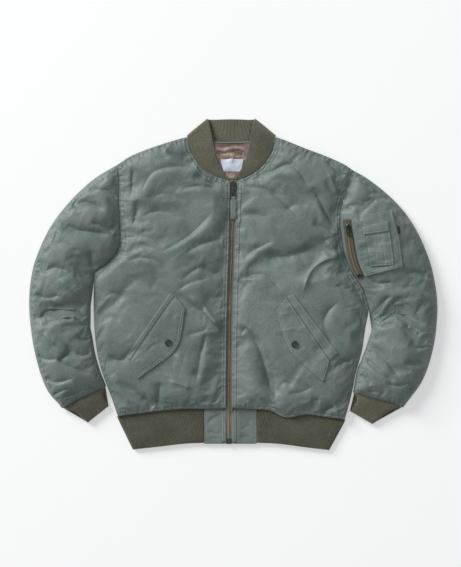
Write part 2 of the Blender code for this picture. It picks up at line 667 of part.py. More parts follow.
def make_hem_rib():
    """One band from tab to tab: over the front, round each side and along the back."""
    seam = back_hem()
    free = at_fractions(HEM_BOTTOM, eased(len(seam) - 1))
    seam = towards(seam, free, RIB_GAP)
    inside = np.array((COLLAR_MIDDLE_X, -300.0))
    stations = []
    for order in (1, -1):
        s, f = seam[::order], free[::order]
        tab_x = RIGHT_TAB_X - GAP if order > 0 else LEFT_TAB_X + GAP
        kept = s[:, 0] < tab_x - 4 if order > 0 else s[:, 0] > tab_x + 4
        ends = [(tab_x, np.interp(tab_x, seam[:, 0], seam[:, 1])),
                (tab_x, np.interp(tab_x, free[:, 0], free[:, 1]))]
        front = [np.vstack((side[kept][1:], end)) for side, end in zip((s, f), ends)]
        front = [at_height(side, HEM_FRONT_Z)[::-1] for side in front]
        out = outward_of(s[0], f[0], inside)
        turn = [fold_over(p[0], out, HEM_FRONT_Z, HEM_BACK_Z) for p in (s, f)]
        stations.append([np.vstack((a, b)) for a, b in zip(front, turn)])
    back = [at_height(p, HEM_BACK_Z)[1:-1] for p in (seam, free)]
    lines = [np.vstack((stations[0][k], back[k], stations[1][k][::-1])) for k in (0, 1)]
    return ribbon("hem_rib", lines[0], lines[1], RIB_THICK, "rib_knit")


def make_tab(name, side, outer_x, folds):
    y = np.linspace(HEM_Y - TAB_DROP, TAB_BOTTOM_Y, TAB_ROWS)
    inner = np.column_stack((zip_x(y) + side * FRONT_EDGE_HALF, y))
    outer = np.column_stack((np.full(TAB_ROWS, outer_x), y))
    v = even(TAB_ROWS - 1)[None, :, None]
    grid = (1 - v) * inner[:, None] + v * outer[:, None]
    low = HEM_BACK_Z + RIB_THICK / 2 + RIB_CLEARANCE
    gap, _ = distance_to(grid, rim(grid), closed=True)
    top = low + TAB_EDGE + TAB_SWELL * np.minimum(gap / TAB_ROLL, 1) + relief(grid, folds)
    return plate(name, with_height(grid, top), with_height(grid, low), "shell_nylon", (low,))


# ---- Zips and pulls --------------------------------------------------------------------------
TAPE_DROP = (HEM_Y - 17.0, HEM_Y - 2.6)    # the tape steps down to the rib between these
TAPE_STATIONS = (*np.linspace(NECK_Y, HEM_Y + 30, 7), TAPE_DROP[1], TAPE_DROP[0], -320.0,
                 TAPE_LAST_Y)


def tape_z(y):
    """The tape lies on the back panel, and drops to the rib below the hem seam."""
    return np.interp(y, TAPE_DROP, (RIB_TAPE_Z, BACK_TOP + 0.4))


def strip_along_zip(name, y, offsets, heights, lift, finish_name):
    grid = np.stack([np.column_stack((zip_x(y) + o, y)) for o in offsets], 1)
    low = (tape_z(y) + lift)[:, None] + np.zeros(len(offsets))
    return plate(name, with_height(grid, low + np.array(heights)), with_height(grid, low),
                 finish_name)


def make_main_zip():
    y = np.array(TAPE_STATIONS)
    for name, a, b in (("right", -TAPE_HALF, -GAP / 2), ("left", GAP / 2, TAPE_HALF)):
        strip_along_zip(f"main_zip_tape_{name}", y, (a, b), (TAPE_THICK, TAPE_THICK), 0.0,
                        "zip_tape")
    coil_y = np.array((SLIDER_FRONT_Y - 1.0, *TAPE_STATIONS[1:-1], STOP_Y + GAP))
    strip_along_zip("main_zip_coil", coil_y, (-COIL_HALF, -1.7, 0.0, 1.7, COIL_HALF),
                    (0.8, 1.9, COIL_HEIGHT, 1.9, 0.8), TAPE_THICK + GAP, "zip_tape")
    strip_along_zip("main_zip_stop", np.array((STOP_Y, STOP_Y - STOP_LENGTH)), (-5.0, -3.5, 3.5, 5.0),
                    (1.6, 3.0, 3.0, 1.6), TAPE_THICK + GAP, "gunmetal")


def pierced_plate(name, xs, ys, holes, z_low, z_high, finish_name):
    """Flat plate of rectangular cells, with some of the cells left open."""
    bm = bmesh.new()
    verts = {}
    cells = []
    for i in range(len(xs) - 1):
        for j in range(len(ys) - 1):
            if (i, j) in holes:
                continue
            corners = [(i, j), (i + 1, j), (i + 1, j + 1), (i, j + 1)]
            for corner in corners:
                if corner not in verts:
                    verts[corner] = bm.verts.new((xs[corner[0]], ys[corner[1]], z_low))
            cells.append(bm.faces.new([verts[corner] for corner in corners]))
    raised = bmesh.ops.extrude_face_region(bm, geom=cells, use_keep_orig=True)["geom"]
    lifted = [item for item in raised if isinstance(item, bmesh.types.BMVert)]
    bmesh.ops.translate(bm, verts=lifted, vec=(0, 0, z_high - z_low))
    return make_object(name, bm, finish_name, smooth=False)


def prism(name, outline, z_low, z_high, finish_name, bevel=0.0):
    bm = bmesh.new()
    face = bm.faces.new([bm.verts.new((x, y, z_low)) for x, y in outline])
    raised = bmesh.ops.extrude_face_region(bm, geom=[face], use_keep_orig=True)["geom"]
    lifted = [item for item in raised if isinstance(item, bmesh.types.BMVert)]
    bmesh.ops.translate(bm, verts=lifted, vec=(0, 0, z_high - z_low))
    if bevel:
        upper = [e for e in bm.edges if all(abs(v.co.z - z_high) < 1e-6 for v in e.verts)]
        bmesh.ops.bevel(bm, geom=upper, offset=bevel, segments=2, profile=0.5, affect="EDGES",
                        material=-1)
    return make_object(name, bm, finish_name)


def arch(name, half_width, half_hole, leg, height, roof, z_base, finish_name):
    """Bail that stands on a slider: two legs and a roof, with a hole right through along X."""
    profile = ((-half_hole - leg, -0.6), (-half_hole - leg, height + roof * 0.5),
               (-half_hole, height + roof), (half_hole, height + roof),
               (half_hole + leg, height + roof * 0.5), (half_hole + leg, -0.6),
               (half_hole, -0.6), (half_hole, height), (-half_hole, height), (-half_hole, -0.6))
    bm = bmesh.new()
    face = bm.faces.new([bm.verts.new((-half_width, y, z_base + z)) for y, z in profile])
    raised = bmesh.ops.extrude_face_region(bm, geom=[face], use_keep_orig=True)["geom"]
    lifted = [item for item in raised if isinstance(item, bmesh.types.BMVert)]
    bmesh.ops.translate(bm, verts=lifted, vec=(2 * half_width, 0, 0))
    return make_object(name, bm, finish_name, smooth=False)


def add_union(body, helper):
    """Fuse a helper solid into a body; the helper itself isn't built."""
    helper.hide_render = True
    helper.display_type = "WIRE"
    cut = body.modifiers.new("union", "BOOLEAN")
    cut.operation = "UNION"
    cut.solver = "EXACT"
    cut.object = helper


def slider_outline(width, length, front_y):
    """Wide where the two tapes part, narrow where they leave joined."""
    half = width / 2
    return ((-0.62 * half, front_y), (-half, front_y + 0.5 * length),
            (-0.8 * half, front_y + 0.9 * length), (-0.3 * half, front_y + length),
            (0.3 * half, front_y + length), (0.8 * half, front_y + 0.9 * length),
            (half, front_y + 0.5 * length), (0.62 * half, front_y))


def make_main_slider():
    """Slider and its bail in the slider's own frame, hinge over the origin."""
    body = prism("main_slider", slider_outline(SLIDER_WIDTH, SLIDER_LENGTH, -SLIDER_LENGTH / 2),
                 -SLIDER_THICK - BAIL_HEIGHT / 2, -BAIL_HEIGHT / 2, "gunmetal", 1.0)
    bail = arch("main_bail", BAIL_HALF_WIDTH, BAIL_HOLE, BAIL_LEG, BAIL_HEIGHT, BAIL_ROOF, -BAIL_HEIGHT / 2,
                "gunmetal")
    add_union(body, bail)
    return body, bail


def make_main_pull():
    """Stamped pull: a bar under the bail, a window round it and a slot for the ribbon."""
    half = PULL_WIDTH / 2
    window = BAIL_HOLE + BAIL_LEG + 1.6
    window_half = BAIL_HALF_WIDTH + 0.8
    slot_half = RIBBON_NECK + 0.4
    xs = (-half, -slot_half, -window_half, window_half, slot_half, half)
    ys = (BAR_HALF, -BAR_HALF, -window, -PULL_SLOT_TOP, -PULL_SLOT_LOW, -PULL_LENGTH)
    holes = {(2, 1), (1, 3), (2, 3), (3, 3)}
    return pierced_plate("main_pull", xs, ys, holes, -PULL_HALF_THICK, PULL_HALF_THICK,
                         "gunmetal")


def make_pull_ribbon():
    """Woven ribbon looped round the pull's lowest bar and sewn to itself."""
    end = PULL_LENGTH
    wide = RIBBON_WIDTH / 2
    tip = end + RIBBON_LENGTH
    outer = ((end - 4.0, 1.2, RIBBON_NECK), (end - 3.3, 1.8, RIBBON_NECK),
             (end + 0.3, 1.8, RIBBON_NECK), (end + 2.1, 1.0, RIBBON_NECK),
             (end + 5.0, 1.0, wide), (tip, 1.0, wide))
    inner = ((end - 3.2, 0.5), (end - 2.9, 1.1), (end - 1.5, 1.1), (end - 0.1, 1.1),
             (end + 0.3, 0.6), (end + 0.4, 0.2))
    loop = [(y, z, w) for y, z, w in outer] + [(y, -z, w) for y, z, w in outer[::-1]]
    hole = [(y, z, RIBBON_NECK) for y, z in inner]
    hole += [(y, -z, RIBBON_NECK) for y, z in inner[::-1]]
    bm = bmesh.new()
    rings = [[add_points(bm, [(side * w, -y, z) for y, z, w in line]) for side in (-1, 1)]
             for line in (loop, hole)]
    for a, b in rings:
        ring_faces(bm, a, b)
    for k in (0, 1):
        ring_faces(bm, rings[0][k], rings[1][k])
    return make_object("main_pull_ribbon", bm, "zip_tape", smooth=False)


def main_hinge():
    z = tape_z(MAIN_HINGE_Y) + TAPE_THICK + GAP + SLIDER_THICK + BAIL_HEIGHT / 2
    return Vector((float(zip_x(MAIN_HINGE_Y)), MAIN_HINGE_Y, float(z)))


# ---- Pockets and trims ---------------------------------------------------------------------------
def make_snap(name, centre, trees):
    """Ring-spring cap: a raised rim round a low dome."""
    profile = ((0.0, 2.1), (0.35, 1.9), (0.6, 1.2), (0.72, 1.5), (0.88, 2.4), (1.0, 1.2),
               (1.0, 0.0))
    base = height_over(trees, *centre, SNAP_RADIUS) + GAP
    bm = bmesh.new()
    crown = bm.verts.new((*centre, base + profile[0][1]))
    turns = np.linspace(0, 2 * math.pi, 20, endpoint=False)
    rings = [add_points(bm, [(centre[0] + SNAP_RADIUS * r * math.cos(t),
                              centre[1] + SNAP_RADIUS * r * math.sin(t), base + z)
                             for t in turns]) for r, z in profile[1:]]
    for k in range(len(turns)):
        bm.faces.new((crown, rings[0][k], rings[0][(k + 1) % len(turns)]))
    for a, b in zip(rings, rings[1:]):
        ring_faces(bm, a, b)
    bm.faces.new(rings[-1])
    return make_object(name, bm, "gunmetal")


def make_pocket(side_name, front, opening, free, welt_outer, snap):
    flap_grid = ruled(opening, free, 9, 6)
    flap = patch(f"pocket_flap_{side_name}", flap_grid, surface_of(front), FLAP_THICK,
                 "shell_nylon", 8.0, lift=FLAP_LIFT)
    inward = (np.array(opening) - welt_outer) * 0.06
    welt_grid = ruled(np.array(opening) - inward - 0.3, welt_outer, 15, 2)
    patch(f"pocket_welt_{side_name}", welt_grid, surface_of(front), WELT_THICK, "shell_nylon", 8.0,
          lift=FLAP_LIFT)
    make_snap(f"snap_cap_{side_name}", snap, surface_of(flap))


def make_sleeve_pocket(sleeve):
    """Zip, patch and pen slots on the wearer's left sleeve; returns the slider's seat."""
    on_sleeve = surface_of(sleeve)
    tape = patch("sleeve_zip_tape", ruled(SLEEVE_TAPE_LEFT, SLEEVE_TAPE_RIGHT, 10, 3), on_sleeve,
                 TAPE_THICK, "zip_tape", 3.0)
    pocket = patch("sleeve_pocket_patch", ruled(SLEEVE_PATCH_LEFT, SLEEVE_PATCH_RIGHT, 8, 7),
                   on_sleeve, PATCH_THICK, "shell_nylon", 7.0)
    pens = patch("pen_slot_patch", ruled(PEN_PATCH_LEFT, PEN_PATCH_RIGHT, 6, 4),
                 surface_of(pocket), PATCH_THICK, "shell_nylon", 8.0)
    patch("pen_slot_band", ruled(PEN_BAND_UPPER, PEN_BAND_LOWER, 6, 2), surface_of(pocket, pens),
          PATCH_THICK, "shell_nylon", 8.0)
    patch("sleeve_side_tab", ruled(SLEEVE_LABEL_LEFT, SLEEVE_LABEL_RIGHT, 2, 1),
          surface_of(sleeve, pocket), 1.0, "label_cloth", 3.0)
    middle = (at_fractions(SLEEVE_TAPE_LEFT, even(40)) * 0.4
              + at_fractions(SLEEVE_TAPE_RIGHT, even(40)) * 0.6)
    coil_line = at_fractions(middle, np.linspace(SLEEVE_ZIP_START + 0.1, 0.94, 9))
    run = np.gradient(coil_line, axis=0)
    square = np.column_stack((-run[:, 1], run[:, 0])) / np.linalg.norm(run, axis=1)[:, None]
    sides = np.array((SLEEVE_COIL_HALF, SLEEVE_COIL_HALF / 3, -SLEEVE_COIL_HALF / 3,
                      -SLEEVE_COIL_HALF))
    grid = coil_line[:, None] + square[:, None] * sides[None, :, None]
    patch("sleeve_zip_coil", grid, surface_of(tape), SLEEVE_COIL_HEIGHT, "zip_tape", 2.0)
    end = at_fractions(middle, (0.955, 0.99))
    across_end = np.array((6.0, 1.5))
    stop_grid = end[:, None] + np.array((-1.0, 0.0, 1.0))[None, :, None] * across_end
    patch("sleeve_zip_stop", stop_grid, surface_of(tape), SLEEVE_COIL_HEIGHT, "gunmetal", 2.0)
    seat = at_fractions(middle, (SLEEVE_ZIP_START, SLEEVE_ZIP_START + 0.05))
    return seat, surface_of(tape)


def frame_on(trees, start, ahead):
    """Seat on a sloping surface: its place, and axes across, back along and out of it."""
    along = (ahead - start) / np.linalg.norm(ahead - start)
    side = np.array((-along[1], along[0]))
    reach = 5.0
    heights = [height_over(trees, *(start + reach * step), 0.5)
               for step in (along, -along, side, -side)]
    back = Vector((*-along, (heights[1] - heights[0]) / (2 * reach))).normalized()
    right = Vector((*side, (heights[2] - heights[3]) / (2 * reach))).normalized()
    up = right.cross(back).normalized()
    turn = Matrix((back.cross(up), back, up)).transposed()
    return Vector((*start, height_over(trees, *start, 1.0))), turn


def make_sleeve_slider(seat, turn):
    width, length = SLIDER_WIDTH * SMALL, SLIDER_LENGTH * SMALL
    thick = SLIDER_THICK * SMALL
    body = prism("sleeve_slider", slider_outline(width, length, -length / 2),
                 -thick - BAIL_HEIGHT / 2, -BAIL_HEIGHT / 2, "gunmetal", 0.6)
    bail = arch("sleeve_bail", 1.3, SLEEVE_BAIL_HOLE, 1.1, BAIL_HEIGHT, 0.9, -BAIL_HEIGHT / 2,
                "gunmetal")
    add_union(body, bail)
    half = SLEEVE_PULL_WIDTH / 2
    xs = (-half, -2.0, 2.0, half)
    ys = (0.8, -0.8, -4.7, -10.0, -16.5, -SLEEVE_PULL_LENGTH)
    pull = pierced_plate("sleeve_pull", xs, ys, {(1, 1), (1, 3)}, -0.7, 0.7, "gunmetal")
    hinge = seat + turn @ Vector((0, 0, GAP + SLEEVE_LIFT + thick + BAIL_HEIGHT / 2))
    for obj in (body, bail, pull):
        obj.matrix_world = Matrix.Translation(hinge) @ turn.to_4x4()


# ---- Inside the neck --------------------------------------------------------------------------------
def mirrored(points):
    return [(2 * COLLAR_MIDDLE_X - x, y) for x, y in points]


def make_neck_inside(back):
    lining = patch("neck_lining", ruled(LINING_RIGHT, mirrored(LINING_RIGHT), 9, 8),
                   surface_of(back), 1.2, "lining_nylon", 2.0, LINING_FOLDS)
    on_lining = surface_of(lining)
    patch("neck_label", ruled(LABEL_TOP, LABEL_BOTTOM, 4, 3), on_lining, 0.6, "label_cloth", 5.0)
    patch("wind_flap", ruled(WIND_FLAP_TOP, WIND_FLAP_BOTTOM, 5, 3), on_lining, 0.9,
          "lining_nylon", 3.0)
    line = at_fractions(BACK_NECK, even(30))
    line = line[np.abs(line[:, 0] - COLLAR_MIDDLE_X) < 40][::2] - (0, 1.3)
    grid = line[:, None] + np.array((0.8, 0.0, -0.8))[None, :, None] * np.array((0, 1.0))
    low = BACK_TOP + GAP
    top = low + np.array((0.9, 1.7, 0.9)) + np.zeros((len(line), 1))
    plate("neck_piping", with_height(grid, top), with_height(grid, low), "lining_nylon")


# ---- Build ------------------------------------------------------------------------------------------
def scale_and_centre():
    """Go from millimetres to metres, with the middle of the footprint over the origin."""
    bpy.context.view_layer.update()
    built = [o for o in bpy.data.objects if not o.hide_render]
    corners = np.array([o.matrix_world @ v.co for o in built for v in o.data.vertices])
    low, high = corners.min(0), corners.max(0)
    middle = Vector(((low[0] + high[0]) / 2, (low[1] + high[1]) / 2, 0.0))
    for obj in bpy.data.objects:
        turn = obj.matrix_world.to_3x3()
        place = (obj.matrix_world.translation - middle) * MM
        obj.data.transform(Matrix.Scale(MM, 4))
        obj.matrix_world = Matrix.Translation(place) @ turn.to_4x4()


def main():
    for obj in list(bpy.data.objects):
        bpy.data.objects.remove(obj, do_unlink=True)
    back = make_back()
    right_front = make_front("front_right", -1, RIGHT_FRONT_HEM, RIGHT_SHOULDER, RIGHT_FRONT_FOLDS)
    left_front = make_front("front_left", 1, LEFT_FRONT_HEM, LEFT_SHOULDER, LEFT_FRONT_FOLDS)
    make_sleeve("sleeve_right", -1, RIGHT_ARMHOLE, RIGHT_SLEEVE_OUTER, RIGHT_SLEEVE_INNER,
                RIGHT_SLEEVE_HEM, RIGHT_SLEEVE_FOLDS)
    left_sleeve = make_sleeve("sleeve_left", 1, LEFT_ARMHOLE, LEFT_SLEEVE_OUTER,
                              LEFT_SLEEVE_INNER, LEFT_SLEEVE_HEM, LEFT_SLEEVE_FOLDS)
    make_cuff("cuff_right", RIGHT_CUFF_OUTER, RIGHT_CUFF_INNER, RIGHT_CUFF_END, RIGHT_SLEEVE_HEM,
              (0.17, -0.36))
    make_cuff("cuff_left", LEFT_CUFF_OUTER, LEFT_CUFF_INNER, LEFT_CUFF_END, LEFT_SLEEVE_HEM,
              (-0.11, -0.38))
    make_collar()
    make_hem_rib()
    make_tab("hem_tab_right", -1, RIGHT_TAB_X, ())
    make_tab("hem_tab_left", 1, LEFT_TAB_X, ())
    make_main_zip()
    slider, bail = make_main_slider()
    pull, pull_ribbon = make_main_pull(), make_pull_ribbon()
    for obj in (slider, bail, pull, pull_ribbon):
        obj.location = main_hinge()
    make_pocket("right", right_front, RIGHT_FLAP_OPENING, RIGHT_FLAP_FREE, RIGHT_WELT_OUTER,
                RIGHT_SNAP)
    make_pocket("left", left_front, LEFT_FLAP_OPENING, LEFT_FLAP_FREE, LEFT_WELT_OUTER, LEFT_SNAP)
    seat, on_tape = make_sleeve_pocket(left_sleeve)
    make_sleeve_slider(*frame_on(on_tape, *seat))
    make_neck_inside(back)
    scale_and_centre()


main()
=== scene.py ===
# %% [markdown]
# # A padded bomber jacket, zipped and laid flat
# The frame holds the jacket's solids at their true sizes. This file dresses them: the nylon gets
# its creases and stitching, the knit its ribs, the zips their teeth. Run the cells from the top.

# %% Load the frame
import math
import random
import bmesh
import bpy
import numpy as np
from mathutils import Matrix, Vector, noise
from mathutils.bvhtree import BVHTree
from mathutils.kdtree import KDTree


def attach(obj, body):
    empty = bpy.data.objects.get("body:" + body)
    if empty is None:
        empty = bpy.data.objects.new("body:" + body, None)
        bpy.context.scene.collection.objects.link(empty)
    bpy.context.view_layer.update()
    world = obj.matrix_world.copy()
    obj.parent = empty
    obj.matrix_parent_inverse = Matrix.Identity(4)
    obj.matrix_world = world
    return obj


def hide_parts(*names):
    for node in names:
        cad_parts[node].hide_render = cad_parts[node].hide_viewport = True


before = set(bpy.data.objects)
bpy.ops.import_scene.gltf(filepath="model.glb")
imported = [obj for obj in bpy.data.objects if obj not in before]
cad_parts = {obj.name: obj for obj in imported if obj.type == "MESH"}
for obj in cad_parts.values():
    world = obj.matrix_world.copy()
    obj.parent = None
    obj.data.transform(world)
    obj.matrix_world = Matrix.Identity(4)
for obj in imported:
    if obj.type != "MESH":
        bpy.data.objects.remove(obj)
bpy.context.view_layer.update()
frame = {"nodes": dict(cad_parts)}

MM = 0.001
NODES = frame["nodes"]

# %% [markdown]
# ## Working on a copy
# A piece of sewn cloth is a soft, rounded wall. It could be modelled afresh, but its solid
# already has the outline and the thickness. So each cloth piece starts as a merged copy of its
# solid, and the frame's own node is left alone. The copy keeps the solid's grid of faces, so a
# subdivision surface rounds it as padding would, with points enough for narrow creases.

# %% Copy a solid
WELD = 0.02 * MM         # points closer than this are one point
BEND = math.radians(50)  # where two faces meet more steeply than this, there is a seam


def copy_of(node):
    """A bmesh of a frame node, welded, with its triangle pairs joined back to quads."""
    made = bmesh.new()
    made.from_mesh(NODES[node].data)
    bmesh.ops.remove_doubles(made, verts=made.verts, dist=WELD)
    bmesh.ops.join_triangles(made, faces=made.faces, angle_face_threshold=BEND,
                             angle_shape_threshold=math.pi, cmp_seam=False, cmp_sharp=False,
                             cmp_uvs=False, cmp_vcols=False, cmp_materials=False)
    return made


print("solids to dress", len(NODES))


# %% Round the copy, but hold its seams
def rim_creases(made, amount):
    """Hold an edge where a top meets its side wall, so that a seam stays where it is sewn."""
    layer = made.edges.layers.float.new("crease_edge")
    for edge in made.edges:
        if len(edge.link_faces) == 2 and edge.calc_face_angle(0) > BEND:
            edge[layer] = amount


def object_of(made, name, levels=0):
    """Turn the bmesh into an object, with its subdivision surface applied."""
    mesh = bpy.data.meshes.new(name)
    made.to_mesh(mesh)
    made.free()
    piece = bpy.data.objects.new(name, mesh)
    bpy.context.scene.collection.objects.link(piece)
    if levels:
        modifier = piece.modifiers.new("round", "SUBSURF")
        modifier.levels = modifier.render_levels = levels
        bpy.context.view_layer.update()
        rounded = bpy.data.meshes.new_from_object(
            piece.evaluated_get(bpy.context.evaluated_depsgraph_get()))
        piece.modifiers.clear()
        piece.data = rounded
        rounded.name = name
    for polygon in piece.data.polygons:
        polygon.use_smooth = True
    return piece


# %% Read and set the points of a piece
def points_of(piece):
    """Where each point is, as rows of x, y and z in metres."""
    co = np.empty(len(piece.data.vertices) * 3)
    piece.data.vertices.foreach_get("co", co)
    return co.reshape(-1, 3)


def normals_of(piece):
    """Which way each point faces."""
    no = np.empty(len(piece.data.vertices) * 3, np.float32)
    piece.data.vertex_normals.foreach_get("vector", no)
    return no.reshape(-1, 3)


def set_points(piece, co):
    """Move each point of the piece to its row of co."""
    piece.data.vertices.foreach_set("co", co.ravel())
    piece.data.update()


print("largest solid", max(NODES, key=lambda node: len(NODES[node].data.polygons)))

# %% [markdown]
# ## Creases
# Nylon over padding does not wave like water: it breaks into sharp, bright ridges with broad,
# slack facets beside them. Such folds could be sculpted, or left to a simulation alone, but
# neither puts a fold at a chosen place again. A crease here is a line with a height, a narrow
# width on the side that falls steeply and a wide one on the side that falls gently. The main
# creases are listed, since each one comes from how the jacket lies: pulled by the zip,
# the pockets, the armholes. A few dozen faint ones between them are strewn with a fixed seed.

# %% A smooth line through a few points
STEPS = 12               # points laid between two given ones


def curve_through(points, count=24):
    """Even points along a smooth curve through the given ones, in metres."""
    pts = np.array(points, float) * MM
    if len(pts) > 2:
        ends = np.vstack((2 * pts[0] - pts[1], pts, 2 * pts[-1] - pts[-2]))
        t = np.linspace(0, 1, STEPS, endpoint=False)[:, None]
        pts = np.vstack([0.5 * (2 * b + (c - a) * t + (2 * a - 5 * b + 4 * c - d) * t**2
                                + (3 * b - a - 3 * c + d) * t**3)
                         for a, b, c, d in zip(ends, ends[1:], ends[2:], ends[3:])] + [pts[-1:]])
    length = np.concatenate(([0], np.cumsum(np.linalg.norm(np.diff(pts, axis=0), axis=1))))
    place = np.linspace(0, length[-1], count)
    return np.stack([np.interp(place, length, pts[:, i]) for i in range(pts.shape[1])], 1)


def beside(co, line):
    """Distance of each point from a line in plan, signed by side, and its place along it."""
    a, b = line[:-1], line[1:]
    span = b - a
    size = np.maximum((span**2).sum(1), 1e-12)
    offset = co[:, None, :2] - a
    t = np.clip((offset * span).sum(2) / size, 0, 1)
    gap = offset - t[..., None] * span
    far = np.sqrt((gap**2).sum(2))
    best = far.argmin(1)
    rows = np.arange(len(co))
    side = np.sign(span[best, 0] * gap[rows, best, 1] - span[best, 1] * gap[rows, best, 0])
    return far[rows, best] * side, (best + t[rows, best]) / len(a)


print("line helpers ready")

# %% The height of one crease
LAST_WIDTH = 3.2         # a crease has died down at this many of its widths
FADE = 4.0               # one part in this many of its line, at each end, rises and falls


def crease_height(co, height, left, right, points, sharp=1.2):
    """Height of one crease: its left side, seen along the line, and its right one differ."""
    line = curve_through(points)
    reach = LAST_WIDTH * max(left, right, sharp) * MM
    low, high = line.min(0) - reach, line.max(0) + reach
    near = np.flatnonzero(((co[:, :2] > low) & (co[:, :2] < high)).all(1))
    total = np.zeros(len(co))
    if len(near) == 0:
        return total
    far, place = beside(co[near], line)
    width = np.where(far > 0, left, right) * MM
    soft = np.sqrt(far**2 + (sharp * MM) ** 2) - sharp * MM
    fade = np.clip(np.minimum(place, 1 - place) * FADE, 0, 1)
    total[near] = height * MM * np.exp(-soft / width) * fade * fade * (3 - 2 * fade)
    return total


print("crease helper ready: it falls to nothing within", LAST_WIDTH, "widths")

# %% [markdown]
# ## Camera, floor and light
# The camera hangs straight above, far enough away that the sleeves hardly lean. A large soft
# window of light stands low at the upper left, because raking light is what makes satin nylon
# show its creases; a broad fill from above keeps the dark facets open. One lamp overhead would
# be simpler, but it lights both sides of a crease alike and the cloth looks flat.

# %% Camera straight above
VIEW_HIGH = 1.2474       # metres of floor from the top of the frame to its bottom
LENS = 140.0             # millimetres
FILM = 36.0              # height of the film, in millimetres
camera_data = bpy.data.cameras.new("camera")
camera_data.lens = LENS
camera_data.sensor_fit = "VERTICAL"
camera_data.sensor_height = FILM
camera_data.clip_end = 50
camera = bpy.data.objects.new("camera", camera_data)
camera.location = (-0.0063, 0.0023, VIEW_HIGH * LENS / FILM + 0.012)
bpy.context.scene.collection.objects.link(camera)
bpy.context.scene.camera = camera
bpy.context.scene.view_settings.view_transform = "Standard"
print("camera", round(camera.location.z, 2), "m above the floor")


# %% A plain material, and the floor
def linear(colour):
    """An sRGB colour from 0 to 255 as the linear one that Blender works with."""
    return (*[(c / 255 / 12.92) if c < 10.3 else ((c / 255 + 0.055) / 1.055) ** 2.4
              for c in colour], 1.0)


def plain_material(name, colour, roughness=0.5, metallic=0.0):
    """colour is sRGB, 0 to 255."""
    material = bpy.data.materials.new(name)
    material.use_nodes = True
    shader = material.node_tree.nodes["Principled BSDF"]
    shader.inputs["Base Color"].default_value = linear(colour)
    shader.inputs["Roughness"].default_value = roughness
    shader.inputs["Metallic"].default_value = metallic
    return material


floor_mesh = bmesh.new()
bmesh.ops.create_grid(floor_mesh, x_segments=1, y_segments=1, size=6.0)
bmesh.ops.translate(floor_mesh, verts=floor_mesh.verts, vec=(0, 0, -0.2 * MM))
floor = object_of(floor_mesh, "floor")
floor_material = plain_material("floor", (226, 226, 226), 0.9)
floor_shader = floor_material.node_tree.nodes["Principled BSDF"]
floor_shader.inputs["Specular IOR Level"].default_value = 0.0
floor_shader.inputs["Emission Color"].default_value = (1, 1, 1, 1)
floor_shader.inputs["Emission Strength"].default_value = 0.36
floor.data.materials.append(floor_material)
print("floor", round(2 * points_of(floor)[:, 0].max(), 1), "m wide")


# %% Two lamps and the world
def soft_light(name, place, size, power):
    """A rectangle of light that looks at the jacket's middle; in metres and watts."""
    data = bpy.data.lights.new(name, "AREA")
    data.shape = "RECTANGLE"
    data.size, data.size_y = size
    data.energy = power
    lamp = bpy.data.objects.new(name, data)
    lamp.location = place
    lamp.rotation_euler = (-Vector(place)).to_track_quat("-Z", "Y").to_euler()
    bpy.context.scene.collection.objects.link(lamp)


soft_light("window", place=(-8.2, 7.6, 4.9), size=(4.6, 4.6), power=1480)
soft_light("overhead", place=(0.4, -0.3, 5.2), size=(3.5, 3.5), power=30)
world = bpy.data.worlds.new("studio")
world.use_nodes = True
world.node_tree.nodes["Background"].inputs["Color"].default_value = (0.95, 0.97, 1.0, 1)
world.node_tree.nodes["Background"].inputs["Strength"].default_value = 0.3
bpy.context.scene.world = world
print("two lamps and a pale world")

# %% [markdown]
# ## Finishes
# Each finish is a principled shader fed by small patterns. Cloth has three scales: yarns under
# a millimetre, soft dents of a few millimetres, and slow changes of tone over a hand's width.
# An image of cloth could be wrapped on instead, but patterns made by nodes have no seams and no
# end. Those that several finishes share are node groups with named sockets.

# %% An empty group, and a node with its links
def group(name, inputs, outputs):
    """An empty node group with float inputs (name, default) and named outputs."""
    tree = bpy.data.node_groups.new(name, "ShaderNodeTree")
    for label, value in inputs:
        socket = tree.interface.new_socket(name=label, in_out="INPUT",
                                           socket_type="NodeSocketFloat")
        socket.default_value = value
    for label in outputs:
        tree.interface.new_socket(name=label, in_out="OUTPUT", socket_type="NodeSocketFloat")
    return tree, tree.nodes.new("NodeGroupInput"), tree.nodes.new("NodeGroupOutput")


def add(tree, kind, links=(), **settings):
    """Add a node; links are (its input, where it comes from)."""
    node = tree.nodes.new("ShaderNode" + kind)
    for key, value in settings.items():
        setattr(node, key, value)
    for socket, source in links:
        if isinstance(source, (int, float, tuple)):
            node.inputs[socket].default_value = source
        else:
            tree.links.new(source, node.inputs[socket])
    return node


print("sockets are made with their names and defaults")


# %% Ranges and waves
def ranged(tree, value, given, wanted=(0.0, 1.0)):
    """A value that runs over the given range, made to run over the wanted one."""
    return add(tree, "MapRange", [("Value", value), ("From Min", given[0]),
                                  ("From Max", given[1]), ("To Min", wanted[0]),
                                  ("To Max", wanted[1])]).outputs[0]


def sine(tree, source, pitch):
    """A wave from -1 to 1 along a coordinate, one for each pitch."""
    turned = add(tree, "Math", [(0, source), (1, 2 * math.pi)], operation="MULTIPLY")
    over = add(tree, "Math", [(0, turned.outputs[0]), (1, pitch)], operation="DIVIDE")
    return add(tree, "Math", [(0, over.outputs[0])], operation="SINE").outputs[0]


print("node helpers ready")

# %% The woven yarn pattern
weave, given, out = group("yarns", [("Pitch", 0.0008)], ["Height"])
place = add(weave, "TexCoord")
split = add(weave, "SeparateXYZ", [(0, place.outputs["Object"])])
across = sine(weave, split.outputs["X"], given.outputs["Pitch"])
along = sine(weave, split.outputs["Y"], given.outputs["Pitch"])
both = add(weave, "Math", [(0, across), (1, along)], operation="MULTIPLY")
weave.links.new(both.outputs[0], out.inputs["Height"])
print("yarns", len(weave.nodes), "nodes")

